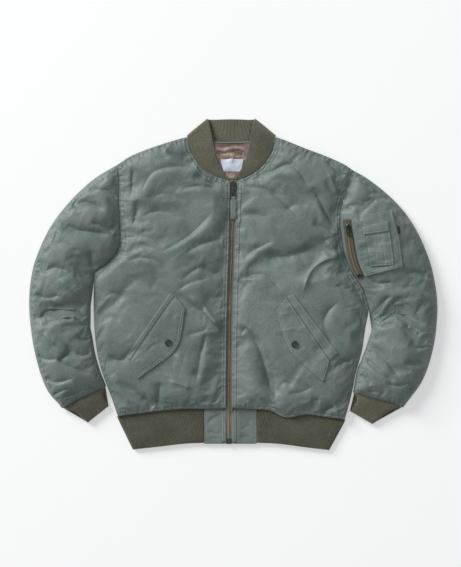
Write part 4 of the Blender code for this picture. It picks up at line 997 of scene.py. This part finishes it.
# %% Round, buckle and crease a panel
PANELS = {}              # each panel's top before and after it was wrinkled
SEAM_HOLD = 0.6          # how sharp a seam stays when its panel is rounded
PUFF = 0.9               # how far the padding pushes a panel's sides out, in millimetres
PUCKER_REACH = 9 * MM
GATHER_HEIGHT, GATHER_REACH = 1.3 * MM, 13 * MM
MAIN_AGAIN, FAINT_SHARE, CREST_SHARE = 1.85, 1.3, 0.3    # of the heights in the tables
THINNEST = 1.5 * MM      # no crease presses a panel thinner than this
BUCKLES_FROM = 6 * MM    # this far from its seams a panel is wholly free to buckle


def wrinkled(node, name, creases, faint=(), pucker=1.2, spots=(), tube=False):
    """A panel of the shell: round its solid, let it buckle, then lay its creases on its top."""
    made = copy_of(node)
    rim_points = upper_rim(made)
    rim_creases(made, SEAM_HOLD)
    piece = object_of(made, name, levels=2)
    smooth_top = tree_of(piece)
    co = points_of(piece)
    lowest = co[:, 2].min()
    co[:, :2] += normals_of(piece)[:, :2] * PUFF * MM
    pleats, near = seam_puckers(co, rim_points, pucker * MM, PUCKER_REACH)
    up = lying_on_top(piece) * off_the_spots(co, spots)
    co[:, 2] += (pleats + rise_of(co, creases, near)) * up
    set_points(piece, co)
    if creases:
        set_points(piece, settled(piece, up * np.clip(near / BUCKLES_FROM, 0, 1)))
    piece.vertex_groups.clear()
    if creases:
        split_where(piece, normals_of(piece)[:, 2] > HARDLY_UP, smooth=2)
        to_rim = distance_to_points(points_of(piece), rim_points)
        split_where(piece, near_creases(piece, creases, to_rim))
        co = points_of(piece)
        lines, near = crisp_pleats(co, rim_points, GATHER_HEIGHT, GATHER_REACH)
        crests = [(CREST_SHARE * height, 1.4, 2.4, line)
                  for height, _, _, line in creases if height > 0]
        rise = (MAIN_AGAIN * rise_of(co, creases, near, sharp=0.5)
                + FAINT_SHARE * rise_of(co, faint, near, sharp=0.7)
                + rise_of(co, crests, near, sharp=0.5) + lines)
        rise = rise + sunk_along(co, FRONT_ROWS[node], to_rim=near)
        top = lying_on_top(piece)
        co[:, 2] += rise * top * off_the_spots(co, spots)
        co[:, 2] = np.maximum(co[:, 2], lowest + THINNEST * top)
        set_points(piece, co)
    if tube:
        hollow(piece, node)
    for polygon in piece.data.polygons:
        polygon.use_smooth = True
    PANELS[node] = (smooth_top, tree_of(piece))
    dress(piece, node, NYLON)
    print(name, len(piece.data.polygons), "faces, creases", len(creases) + len(faint))
    return piece


# %% Fronts, sleeves and back
SLEEVE_ZIP_LINE = ((247.6, 143), (255, 87.5), (263.5, 47.5), (277.6, 15.5))
shell = {
    "right_front": wrinkled("front_right", "right_front_shell", RIGHT_FRONT_CREASES,
                            strewn(3, ((-285, -265), (-25, 285)), number=56, slant=18,
                                   sizes=(14, 42))),
    "left_front": wrinkled("front_left", "left_front_shell", LEFT_FRONT_CREASES,
                           strewn(5, ((10, -275), (245, 280)), number=54, slant=-14,
                                  sizes=(14, 42))),
    "right_sleeve": wrinkled("sleeve_right", "right_sleeve_shell", RIGHT_SLEEVE_CREASES,
                             strewn(7, ((-440, -240), (-270, 230)), number=34, slant=24,
                                    sizes=(16, 44)), tube=True),
    "left_sleeve": wrinkled("sleeve_left", "left_sleeve_shell", LEFT_SLEEVE_CREASES,
                            strewn(9, ((255, -240), (440, 230)), number=34, slant=-24,
                                   sizes=(16, 44)),
                            spots=((13, SLEEVE_ZIP_LINE),), tube=True),
    "back": wrinkled("back_panel", "back_shell", (), pucker=0.8),
}
print("tallest point", round(max(points_of(o)[:, 2].max() for o in shell.values()) * 1000), "mm")

# %% [markdown]
# ## What lies on the panels
# Pocket flaps, welts and patches lie on a panel. Left flat they would float over its hollows
# and sink into its ridges, and a shrinkwrap would press them thin. So each of their points
# rises by as much as the panel's top has risen below it, which keeps its distance from the
# cloth. Their own small folds come on top.

# %% How far a panel has risen
BORROW = 6 * MM          # a point beside the panel takes the rise of one that is this near


def moved_by(panel, co):
    """How far the panel's top has risen under each point, since it was smooth."""
    before, after = PANELS[panel]
    down = Vector((0, 0, -1))
    rise = np.full(len(co), np.nan)
    for i, point in enumerate(co):
        start = Vector((point[0], point[1], 0.2))
        low, high = before.ray_cast(start, down)[0], after.ray_cast(start, down)[0]
        if low is not None and high is not None:
            rise[i] = high.z - low.z
    lost = np.isnan(rise)
    if lost.any() and not lost.all():
        tree = KDTree(int((~lost).sum()))
        known = np.flatnonzero(~lost)
        for k, i in enumerate(known):
            tree.insert(co[i], k)
        tree.balance()
        for i in np.flatnonzero(lost):
            _, k, far = tree.find(co[i])
            rise[i] = rise[known[k]] if far < BORROW else 0.0
    return np.nan_to_num(rise)


print("panels to lie on", list(PANELS))

# %% Pieces that follow a panel
OWN_REACH = 5 * MM       # how far a small piece's own puckers run in from its seam
OWN_GRAIN = 260          # and how close together they are
FOLD_SPAN = 2.4 * MM     # from the lining's deepest valley to its highest crest
OWN_DEPTH, OWN_WIDE = 0.7, 1.1       # of the grooves under its stitching, in millimetres


def following(node, name, panel, creases=(), levels=2, pucker=0.35, material=NYLON,
              lift=0.0, rows=(), paint_fold_shade=False):
    """A piece that lies on a panel and rises with it, with faint puckers of its own."""
    made = copy_of(node)
    own_rim = upper_rim(made, spacing=1.5 * MM)
    rim_creases(made, SEAM_HOLD)
    piece = object_of(made, name, levels)
    co = points_of(piece)
    up = lying_on_top(piece)
    if panel:
        co[:, 2] += moved_by(panel, co)
    pleats, _ = seam_puckers(co, own_rim, pucker * MM, OWN_REACH, OWN_GRAIN)
    own = np.zeros(len(co))
    for height, one, other, line in creases:
        own += crease_height(co, height, one, other, line)
    own += sunk_along(co, rows, OWN_DEPTH, OWN_WIDE)
    co[:, 2] += (np.abs(pleats) + own) * up + lift * MM
    set_points(piece, co)
    # the value for painted shade in the valleys and a painted highlight on the crests, from the
    # piece's own heights
    if paint_fold_shade:
        mark = piece.data.attributes.new("fold_shade", "FLOAT", "POINT")
        mark.data.foreach_set("value", np.clip(own / FOLD_SPAN + 0.5, 0, 1).astype(np.float32))
    return dress(piece, node, material)


print("small pieces pucker", OWN_REACH * 1000, "mm in from their seams")

# %% Their creases, in millimetres
RIGHT_FLAP_CREASES = (
    (0.9, 3, 6, ((-150, -60), (-132, -70), (-116, -72))),
    (0.9, 3, 6, ((-196, -150), (-180, -165), (-168, -172))),
    (0.7, 3, 6, ((-168, -96), (-150, -104), (-126, -104))),
)
LEFT_FLAP_CREASES = (
    (0.9, 3, 6, ((98, -70), (118, -62), (134, -70))),
    (0.8, 3, 6, ((110, -104), (136, -96), (160, -108))),
    (0.8, 3, 6, ((150, -172), (172, -150), (190, -152))),
)
PATCH_CREASES = (
    (1.3, 3, 7, ((266, 134), (300, 128), (346, 146))),
    (1.0, 3, 6, ((282, 62), (300, 66), (360, 70))),
    (1.1, 3, 6, ((284, 34), (320, 28), (362, 46))),
    (0.9, 3, 5, ((268, 96), (280, 90), (296, 96))),
    (0.9, 3, 5, ((330, 140), (346, 120), (356, 100))),
)
PEN_CREASES = (
    (0.8, 2, 4, ((292, 90), (316, 86), (346, 92))),
    (0.8, 2, 4, ((296, 66), (318, 70), (348, 62))),
    (0.7, 2, 4, ((300, 50), (322, 46), (348, 52))),
)
RIPPLE = {"sizes": (8, 20), "heights": (0.3, 0.9), "spread": 16}
print("patch", len(PATCH_CREASES), "main creases, pen slots", len(PEN_CREASES))

# %% Flaps, welts, patches and snaps
flaps = [
    following("pocket_flap_right", "right_flap", "front_right",
              RIGHT_FLAP_CREASES + strewn(31, ((-205, -185), (-115, -45)), 34, -12, **RIPPLE),
              levels=3, lift=1.0, rows=FLAP_ROWS["right"]),
    following("pocket_flap_left", "left_flap", "front_left",
              LEFT_FLAP_CREASES + strewn(33, ((100, -190), (190, -45)), 30, 22, **RIPPLE),
              levels=3, lift=1.0, rows=FLAP_ROWS["left"])]
welts = [following("pocket_welt_right", "right_welt", "front_right", lift=0.3),
         following("pocket_welt_left", "left_welt", "front_left", lift=0.3)]
patch = following("sleeve_pocket_patch", "sleeve_patch", "sleeve_left",
                  PATCH_CREASES + strewn(35, ((270, 30), (355, 140)), 30, 5, **RIPPLE), levels=3,
                  lift=0.7, rows=PATCH_ROWS)
pens = [following("pen_slot_patch", "pen_patch", "sleeve_left",
                  PEN_CREASES + strewn(37, ((296, 46), (346, 112)), 16, 5, **RIPPLE), levels=3,
                  lift=1.3, rows=PEN_ROWS),
        following("pen_slot_band", "pen_band", "sleeve_left", lift=1.9, levels=3,
                  rows=BAND_ROWS)]
snaps = [following("snap_cap_right", "right_snap", "front_right", levels=0, material=GUNMETAL,
                   pucker=0, lift=1.1),
         following("snap_cap_left", "left_snap", "front_left", levels=0, material=GUNMETAL,
                   pucker=0, lift=1.1)]
sleeve_tape = following("sleeve_zip_tape", "sleeve_tape", "sleeve_left", material=SLEEVE_TAPE,
                        pucker=0)
side_tab = following("sleeve_side_tab", "side_tab", "sleeve_left", material=DARK_TAPE,
                     pucker=0, levels=1, lift=0.8)
print("laid on", [o.name for o in (*flaps, *welts, patch, *pens, *snaps, sleeve_tape, side_tab)])

# %% Hem tabs
TAB_CREASES = (
    (-2.2, 2, 8, ((-60, -309), (-45, -294), (-25, -285))),
    (-1.8, 2, 7, ((-58, -322), (-43, -327), (-27, -331))),
    (-2.2, 2, 8, ((8, -283), (26, -289), (43, -307))),
    (-1.5, 2, 7, ((12, -324), (28, -313), (43, -309))),
    (-1.2, 2, 6, ((-54, -340), (-40, -338), (-26, -342))),
    (-1.2, 2, 6, ((12, -338), (26, -334), (40, -340))),
)
tabs = [following("hem_tab_right", "right_tab", None, TAB_CREASES, levels=3,
                  rows=TAB_ROWS["right"]),
        following("hem_tab_left", "left_tab", None, TAB_CREASES, levels=3,
                  rows=TAB_ROWS["left"])]
print("tabs", [o.name for o in tabs])

# %% [markdown]
# ## Ribbed knit
# Collar, cuffs and hem are doubled rib knit. Its ribs run from the seam to the free edge and fan
# out where the band is longer at its edge. Ribs modelled as ridges would need millions of
# faces, and straight stripes would not fan. So each point of the knit is given its distance
# along the seam as an attribute named rib, and the finish turns that distance into ribs.

# %% Seam and edge lines of the knit, in millimetres
RIGHT_COLLAR_EDGE = ((-12, 231), (-24, 246), (-35, 266), (-42, 287), (-45.5, 308.5), (-50.5, 335),
                     (-56, 361))
LEFT_COLLAR_EDGE = ((0, 231), (12, 246), (23, 266), (30, 287), (33.5, 308.5), (38.5, 335),
                    (44, 361))
BACK_NECK = ((-47, 313), (-30, 312.3), (-6, 312), (18, 312.3), (35, 313))
BACK_COLLAR_EDGE = ((-56, 361), (-30, 362.5), (-6, 363), (18, 362.5), (44, 361))
HEM_SEAM = ((-255, -290), (-162, -278), (-66, -274), (50, -275), (150, -284), (243, -297))
HEM_EDGE = ((-219, -364), (-162, -358), (-66, -350), (50, -350), (99, -352), (206, -365))
RIGHT_CUFF = (((-378, -273), (-331, -249), (-282, -225)), ((-323, -306), (-275, -268)))
LEFT_CUFF = (((372, -271), (310, -253), (263, -239)), ((306, -309), (254, -279)))
print("collar", round(abs(BACK_COLLAR_EDGE[2][1] - BACK_NECK[2][1])), "mm high at the back")

# %% Mark the ribs
ACROSS_KNIT, ALONG_KNIT = 14, 900    # how many places are marked from seam to edge, and along


def mark_ribs(piece, strips):
    """Store, for every point, how far along the seam its rib starts."""
    places, distances = [], []
    for seam, edge in strips:
        a, b = [curve_through(line, ALONG_KNIT) + np.array((MIDDLE_X, MIDDLE_Y)) * MM
                for line in (seam, edge)]
        middle = (a + b) / 2
        far = np.concatenate(([0], np.cumsum(np.linalg.norm(np.diff(middle, axis=0), axis=1))))
        for v in np.linspace(-0.05, 1.05, ACROSS_KNIT):
            places.append(a + (b - a) * v)
            distances.append(far)
    places, distances = np.vstack(places), np.concatenate(distances)
    tree = plan_tree(places)
    values = [distances[tree.find((p[0], p[1], 0))[1]] for p in points_of(piece)]
    mark = piece.data.attributes.new("rib", "FLOAT", "POINT")
    mark.data.foreach_set("value", np.array(values, np.float32))


print("ribs are marked at", ACROSS_KNIT * ALONG_KNIT, "places of each strip")


# %% The knit's finish
def knit_finish(name, colour, shade, pitch=0.0030, depth=0.00035):
    """Matte wool rib with painted shade in its valleys, and a faint fuzz that catches the light.
    """
    material = cloth(name, colour, shade, 0.93, 0.3, 0.0011, 0.00008, 0.006, 0.0005,
                     tone_size=0.05, specular=0.2, rough_spread=0.03)
    tree = material.node_tree
    shader = tree.nodes["Principled BSDF"]
    mark = add(tree, "Attribute", attribute_name="rib", attribute_type="GEOMETRY")
    wave = sine(tree, mark.outputs["Fac"], pitch)
    old_normal = shader.inputs["Normal"].links[0].from_socket
    bump = add(tree, "Bump", [("Height", wave), ("Distance", depth), ("Normal", old_normal)])
    tree.links.new(bump.outputs[0], shader.inputs["Normal"])
    # painted shade in the valleys between the ribs, and a faint painted highlight on their crests
    tinted(tree, shader, ranged(tree, wave, (-1.0, 1.0), (0.92, 1.05)))
    speckled(material, 0.0034, 0.16, 0.0)
    return material


KNIT = knit_finish("rib_knit", (114, 114, 97), (101, 101, 85))
HEM_KNIT = knit_finish("rib_knit_hem", (100, 101, 85), (89, 89, 74))
print("knit finishes", KNIT.name, HEM_KNIT.name)

# %% Collar, hem band and cuffs
HEM_WAVES = (
    (0.9, 14, 16, ((-190, -350), (-196, -320), (-205, -292))),
    (0.8, 12, 18, ((-120, -346), (-124, -320), (-130, -284))),
    (0.9, 14, 16, ((92, -340), (94, -320), (90, -296))),
    (0.8, 12, 18, ((150, -350), (146, -325), (150, -294))),
    (-0.7, 10, 12, ((200, -350), (206, -326), (212, -300))),
    (-0.7, 10, 12, ((-160, -346), (-162, -326), (-166, -296))),
)
COLLAR_WAVES = (
    (0.8, 8, 12, ((-92, 300), (-70, 300), (-48, 306))),
    (0.7, 8, 10, ((-66, 262), (-52, 268), (-36, 272))),
    (0.8, 8, 12, ((40, 300), (60, 296), (84, 302))),
    (0.7, 8, 10, ((28, 268), (42, 264), (62, 262))),
    (-0.8, 10, 14, ((0, 352), (20, 342), (38, 326))),
)


KNIT_HOLD = 0.35         # a knit edge is rounder than a nylon one
KNIT_SHARP = 4           # and its waves have broad crests, in millimetres


def knitted(node, name, strips, waves, material, levels=2, tube=True):
    """A knit band: round its solid, lay its slow waves and mark its ribs."""
    made = copy_of(node)
    rim_creases(made, KNIT_HOLD)
    piece = object_of(made, name, levels)
    co = points_of(piece)
    up = lying_on_top(piece)
    for height, one, other, line in waves:
        co[:, 2] += crease_height(co, height, one, other, line, KNIT_SHARP) * up
    set_points(piece, co)
    if tube:
        hollow(piece, node, inset=1.2 * MM, floor_gap=0.4 * MM)
    mark_ribs(piece, strips)
    return dress(piece, node, material)


collar = knitted("collar_rib", "collar",
                 [(RIGHT_NECK, RIGHT_COLLAR_EDGE), (BACK_NECK, BACK_COLLAR_EDGE),
                  (LEFT_NECK, LEFT_COLLAR_EDGE)], COLLAR_WAVES, KNIT, levels=3, tube=False)
hem_band = knitted("hem_rib", "hem_band", [(HEM_SEAM, HEM_EDGE)], HEM_WAVES, HEM_KNIT,
                   tube=False)
cuffs = [knitted("cuff_right", "right_cuff", [RIGHT_CUFF], (), KNIT, levels=3),
         knitted("cuff_left", "left_cuff", [LEFT_CUFF], (), KNIT, levels=3)]
print("knit", [len(o.data.polygons) for o in (collar, hem_band, *cuffs)])

# %% [markdown]
# ## Inside the neck
# A little of the back lining shows between the collar's edges: a shiny cloth, quilted to the
# padding, so it lies in short crinkles. A bump could draw them, but satin shows its shape in
# its highlights, so they are modelled, and the valleys are darkened where little light gets in.
# A label is sewn over it, bare of any words.

# %% Lining, piping, label and wind flap
LINING_CREASES = (
    (-1.6, 2.5, 2.5, ((-44, 308), (-20, 306), (6, 309), (32, 306))),
    (1.5, 2, 5, ((-44, 300), (-22, 297), (4, 302), (30, 298))),
    (-1.8, 2, 2.2, ((-42, 292), (-24, 289), (2, 294), (30, 290))),
    (1.5, 2, 5, ((-40, 284), (-18, 287), (8, 281), (28, 285))),
    (-1.6, 2, 2.2, ((-36, 276), (-20, 274), (-4, 278), (24, 273))),
    (-1.2, 1.8, 3, ((-38, 297), (-30, 291), (-26, 283))),
    (-1.2, 1.8, 3, ((8, 299), (16, 292), (25, 288))),
    (1.4, 2, 5, ((-22, 244), (-6, 240), (10, 244))),
    (-1.2, 2, 3, ((-24, 250), (-6, 249), (12, 250))),
)
LABEL_CREASES = ((0.5, 6, 8, ((-20, 262), (-4, 264), (14, 260))),)
WIND_CREASES = ((0.8, 2, 3, ((-18, 239), (-5, 236), (8, 239))),)
# lining and wind flap both get painted shade in their valleys and a painted highlight on their
# crests
lining = following("neck_lining", "neck_lining_cloth", None,
                   LINING_CREASES + strewn(21, ((-40, 235), (28, 305)), 30, 0,
                                           sizes=(4, 12), heights=(0.3, 0.9)),
                   levels=3, material=LINING, pucker=0.2, paint_fold_shade=True)
PANELS["neck_lining"] = (tree_of(NODES["neck_lining"]), tree_of(lining))
piping = following("neck_piping", "neck_seam_piping", None, material=PIPING,
                   pucker=0)
label = following("neck_label", "plain_label", "neck_lining", LABEL_CREASES, levels=3,
                  material=LABEL, pucker=0.1, lift=0.7)
wind = following("wind_flap", "wind_flap_top", None, WIND_CREASES, levels=3, material=LINING,
                 pucker=0.2, paint_fold_shade=True)
print("neck pieces", lining.name, piping.name, label.name, wind.name)

# %% [markdown]
# ## Zips
# Both zips are closed coils: two nylon threads wound in spirals that mesh. Spirals could be
# swept along the zip, but only their tops show and they would take hundreds of thousands of
# faces. So the coil becomes its loops: short rounded bars across the zip, every other one a
# little to the other side and turned, as the two halves of a coil lie when they are meshed.

# %% Small bars, many times
def height_on(pieces, x, y, start=0.2):
    """Height of the topmost surface at a place in plan, or None."""
    best = None
    for tree in pieces:
        hit = tree.ray_cast(Vector((x, y, start)), Vector((0, 0, -1)))
        if hit[0] is not None and (best is None or hit[0].z > best.z):
            best = hit[0]
    return best


def bars_at(name, seats, around=6):
    """One object of small rounded bars: the same pattern set down at every seat."""
    pattern = bmesh.new()
    bmesh.ops.create_uvsphere(pattern, u_segments=around, v_segments=4, radius=1.0)
    bar = bpy.data.meshes.new("bar")
    pattern.to_mesh(bar)
    pattern.free()
    made = bmesh.new()
    for _ in seats:
        made.from_mesh(bar)
    for i, vertex in enumerate(made.verts):
        vertex.co = seats[i // len(bar.vertices)] @ vertex.co
    bpy.data.meshes.remove(bar)
    return object_of(made, name)


print("bars are laid at the height of what is below them")

# %% Coil loops along a zip
COIL_SHIFT, COIL_TURN = 0.45 * MM, math.radians(7)   # of every other loop
LOOP_SHARE = 0.46        # half a loop's width, as a share of the pitch


def coil_loops(node, name, line, half, pitch, thick, middle=(MIDDLE_X, MIDDLE_Y)):
    """Rounded bars along the coil, laid at the height of its solid's top; in millimetres."""
    top = tree_of(NODES[node])
    path = curve_through(line, 400) + np.array(middle) * MM
    length = np.linalg.norm(np.diff(path, axis=0), axis=1).sum()
    count = int(length / (pitch * MM))
    place = np.linspace(0, 1, count)
    spots = np.stack([np.interp(place, np.linspace(0, 1, len(path)), path[:, i])
                      for i in (0, 1)], 1)
    seats = []
    for k, (x, y) in enumerate(spots):
        on = height_on([top], x, y)
        if on is None:
            continue
        ahead = spots[min(k + 1, count - 1)] - spots[max(k - 1, 0)]
        turn = math.atan2(ahead[1], ahead[0]) - math.pi / 2
        way = 1 if k % 2 else -1
        seats.append(Matrix.Translation((x, y, on.z - thick / 2 * MM))
                     @ Matrix.Rotation(turn, 4, "Z")
                     @ Matrix.Translation((way * COIL_SHIFT, 0, 0))
                     @ Matrix.Rotation(way * COIL_TURN, 4, "Z")
                     @ Matrix.Diagonal((half * MM, pitch * LOOP_SHARE * MM, thick / 2 * MM, 1)))
    return bars_at(name, seats, 8), count


ZIP_LINE = ((-1.0, 228.0), (-4.4, 97.0), (-8.0, -13.0), (-10.3, -123.0), (-11.4, -255.0),
            (-11.0, -346.0))
COIL = cloth("coil", (142, 137, 117), (124, 119, 100), 0.45, 0.0, 0.0006, 0.00002, 0.004, 0.0001)
main_coil, loops = coil_loops("main_zip_coil", "main_coil", ZIP_LINE, half=2.3, pitch=1.55,
                              thick=1.5)
dress(main_coil, "main_zip_coil", COIL)
print("main zip", loops, "loops")
small_coil, loops = coil_loops("sleeve_zip_coil", "sleeve_coil", SLEEVE_ZIP_LINE, half=1.8,
                               pitch=1.4, thick=1.3, middle=(0, 0))
dress(small_coil, "sleeve_zip_coil", COIL)
print("sleeve zip", loops, "loops")

# %% Tapes and the ribbon pull
tapes = [following("main_zip_tape_right", "right_tape", None, material=TAPE,
                   pucker=0, lift=1.0),
         following("main_zip_tape_left", "left_tape", None, material=TAPE,
                   pucker=0, lift=1.0)]
ribbon = following("main_pull_ribbon", "ribbon_pull", None, pucker=0)
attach(ribbon, "main_pull")
print("tapes", [o.name for o in tapes], "and", ribbon.name)

# %% [markdown]
# The pull is stamped from sheet metal, with a window that its ribbon is threaded through. A
# boolean could cut the window, but a grid of nine faces with its middle one taken out gives a
# clean outline at once. The sheet then gets its thickness, and its edges a small bevel.

# %% The pull and the other metal
BREAK = 0.3 * MM         # how much of each edge the tumbling has taken off


def open_pull(node, name, start, end, side):
    """A flat pull with a window: where it starts and ends below the hinge, and its sides."""
    low, high = points_of(NODES[node]).min(0), points_of(NODES[node]).max(0)
    columns = (low[0], low[0] + side * MM, high[0] - side * MM, high[0])
    lines = (low[1], high[1] - end * MM, high[1] - start * MM, high[1])
    made = bmesh.new()
    bmesh.ops.create_grid(made, x_segments=3, y_segments=3, size=1.0)
    window = min(made.faces, key=lambda face: face.calc_center_median().length)
    for vertex in made.verts:
        vertex.co = (columns[round((vertex.co.x + 1) * 1.5)],
                     lines[round((vertex.co.y + 1) * 1.5)], high[2])
    bmesh.ops.delete(made, geom=[window], context="FACES_ONLY")
    bmesh.ops.solidify(made, geom=list(made.faces), thickness=float(high[2] - low[2]))
    bmesh.ops.recalc_face_normals(made, faces=made.faces)
    rims = [edge for edge in made.edges if edge.calc_face_angle(0) > 1.0]
    bmesh.ops.bevel(made, geom=rims, offset=BREAK, offset_type="OFFSET", segments=2,
                    profile=0.5, affect="EDGES", material=-1)
    piece = object_of(made, name)
    box = points_of(piece)
    print(name, "rises over its solid by", float(box[:, 2].max() - high[2]))
    return dress(piece, node, GUNMETAL, body="main_pull")


loop = open_pull("main_pull", "main_pull_loop", start=11.0, end=24.0, side=2.6)
for node in ("main_slider", "main_zip_stop", "sleeve_slider", "sleeve_pull", "sleeve_zip_stop"):
    NODES[node].data.materials.clear()
    NODES[node].data.materials.append(GUNMETAL)
print("metal nodes keep their solids")

# %% [markdown]
# ## Zip facing and stitches
# The fronts' edges are folded over the zip's tape and sewn down. They could be part of the
# panels, but a separate band can ride over the tape with a clean edge. Each facing is a grid
# whose height is read from the cloth beside it, closed with an extrusion. The threads come
# last: short rounded bars laid on whatever piece is on top along the rows.

# %% Where the facings run, in millimetres
TOPS = [PANELS[node][1] for node in ("front_right", "front_left", "sleeve_left")]
TOPS += [tree_of(piece) for piece in (*flaps, *welts, patch, *pens, *tabs)]
ACROSS = (0.0, 1.0, 2.2, 3.4, 4.8, 6.2, 7.6, 8.8, 9.8)    # from the facing's inner edge
THREAD_ROWS = (2.2, 7.6)             # its two rows of sewing, from the same edge
LEVEL_TO = 4.8                       # level to here, then down to the panel beside it
TAPE_HALF, TAPE_WIDER = 6.5, 0.9     # half of the tape that shows, and what the top adds
WIDER_FROM, WIDER_OVER = 138, 8      # the height at which the tape gets wider
BESIDE = 11.5                        # the cloth's height is read this far from the zip
RIDES, EDGE_DROP, FACING_THICK = 0.95, 0.35, 0.6
WAVES, SEWN_DEEP, SEWN_WIDE = 0.3, 0.3, 0.9      # its slow waves, and its rows of sewing


def zip_x(y):
    """Where the middle of the main zip is at this height of the jacket."""
    path = alongside(ZIP_LINE)
    return float(np.interp(-y, -path[:, 1], path[:, 0]))


def facing_rows(top_y, low_y, side, step=1.8):
    """The points of a facing's top, row by row from the neck down."""
    rows = []
    for y in np.arange(top_y, low_y, -step) * MM:
        inner = TAPE_HALF + TAPE_WIDER * min(1.0, max(0.0, (y / MM - WIDER_FROM) / WIDER_OVER))
        middle = zip_x(y)
        on = height_on(TOPS, middle + side * BESIDE * MM, y)
        outer = height_on(TOPS, middle + side * (inner + ACROSS[-1]) * MM, y)
        if on is None or outer is None:
            continue
        row = []
        for far in ACROSS:
            x = middle + side * (inner + far) * MM
            share = max(0.0, far - LEVEL_TO) / (ACROSS[-1] - LEVEL_TO)
            wave = WAVES * noise.noise(Vector((x * 90, y * 260, side)))
            dip = SEWN_DEEP * sum(math.exp(-((far - thread) / SEWN_WIDE) ** 2)
                                  for thread in THREAD_ROWS)
            edge = EDGE_DROP if far in (ACROSS[0], ACROSS[-1]) else 0.0
            z = on.z * (1 - share) + outer.z * share + (RIDES + wave - dip - edge) * MM
            row.append(Vector((x, y, z)))
        rows.append(row)
    for above, row, below in zip(rows, rows[1:], rows[2:]):
        for up, point, down in zip(above, row, below):
            point.z = (up.z + 2 * point.z + down.z) / 4
    return rows


print("main zip at the hem", round(zip_x(-0.27), 4), "m from the middle")


# %% Facings beside the zip
def facing(name, top_y, low_y, side):
    """The folded edge of one front, from top_y down to low_y."""
    rows = facing_rows(top_y, low_y, side)
    across, down = len(ACROSS) - 1, len(rows) - 1
    made = bmesh.new()
    bmesh.ops.create_grid(made, x_segments=across, y_segments=down, size=1.0)
    for vertex in made.verts:
        row = rows[round((1 - vertex.co.y) * down / 2)]
        vertex.co = row[round((vertex.co.x + 1) * across / 2)]
    under = bmesh.ops.extrude_face_region(made, geom=made.faces[:], use_keep_orig=True)
    bmesh.ops.translate(made, vec=(0, 0, -FACING_THICK * MM),
                        verts=[e for e in under["geom"] if isinstance(e, bmesh.types.BMVert)])
    bmesh.ops.recalc_face_normals(made, faces=made.faces)
    piece = object_of(made, name)
    piece.data.materials.append(NYLON)
    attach(piece, "jacket")
    return piece


facings = [facing("right_facing", 227, -273.5, -1), facing("left_facing", 227, -273.5, 1),
           facing("right_tab_facing", -277, -348, -1), facing("left_tab_facing", -277, -348, 1)]
TOPS += [tree_of(piece) for piece in facings]
print("facings", [len(piece.data.polygons) for piece in facings])


# %% Lay the stitches
FIRST = 1.5 * MM         # where a row's first stitch starts
JUMP = 2 * MM            # a stitch doesn't cross a step that is higher than this
PROUD = 0.12 * MM        # how far a thread's middle lies above the cloth


def sew(name, rows, body="jacket", tops=TOPS, pitch=3.8, length=2.5, thick=1.2):
    """Stitches along rows of sewing, half sunk in the cloth that is under them."""
    seats = []
    for points, by in rows:
        path = alongside(points, by)
        far = np.concatenate(([0], np.cumsum(np.linalg.norm(np.diff(path, axis=0), axis=1))))
        for start in np.arange(FIRST, far[-1] - length * MM, pitch * MM):
            a, b = [height_on(tops, *[float(np.interp(at, far, path[:, i])) for i in (0, 1)])
                    for at in (start, start + length * MM)]
            if a is None or b is None or abs(a.z - b.z) > JUMP:
                continue
            seats.append(Matrix.Translation((a + b) / 2 + Vector((0, 0, PROUD)))
                         @ (b - a).to_track_quat("X", "Z").to_matrix().to_4x4()
                         @ Matrix.Diagonal(((b - a).length / 2, thick / 2 * MM,
                                            thick / 2 * MM, 1)))
    piece = bars_at(name, seats)
    piece.data.materials.append(THREAD)
    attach(piece, body)
    print(name, len(seats), "stitches")
    return piece


print("stitches lie", PROUD * 1000, "mm proud of the cloth")

# %% Sew every row
FACING_ROWS = [(ZIP_LINE, by) for by in (-14.1, -8.8, 8.8, 14.1)]
RIBBON_ROWS = [(((-7.5, 186), (-8, 146)), 0), (((3.5, 186), (3, 146)), 0)]
stitches = {
    "right_front": sew("right_front_stitches", FRONT_ROWS["front_right"]),
    "left_front": sew("left_front_stitches", FRONT_ROWS["front_left"]),
    "zip": sew("zip_stitches", FACING_ROWS, pitch=3.6),
    "coil": sew("coil_stitches", [(ZIP_LINE, 0)], tops=[tree_of(main_coil)], pitch=4.4,
                length=2.6, thick=1.3),
    "right_pocket": sew("right_pocket_stitches", FLAP_ROWS["right"] + WELT_ROWS["right"]),
    "left_pocket": sew("left_pocket_stitches", FLAP_ROWS["left"] + WELT_ROWS["left"]),
    "sleeve_pocket": sew("sleeve_pocket_stitches", PATCH_ROWS + PEN_ROWS + BAND_ROWS, pitch=3.6),
    "tabs": sew("tab_stitches", TAB_ROWS["right"] + TAB_ROWS["left"]),
    "ribbon": sew("ribbon_stitches", RIBBON_ROWS, body="main_pull", tops=[tree_of(ribbon)],
                  pitch=2.6, length=1.7, thick=0.6),
}

# %% [markdown]


print("every piece of cloth is made above")

# %% The shell and the knit
print("panels and knit are made above")

# %% What lies on them
print("pieces on the panels are made above")

# %% [markdown]
# ## Sizes and the end
# The dressed jacket may stand a little proud of its solids, but keeps their size.

# %% Finish
bpy.context.view_layer.update()
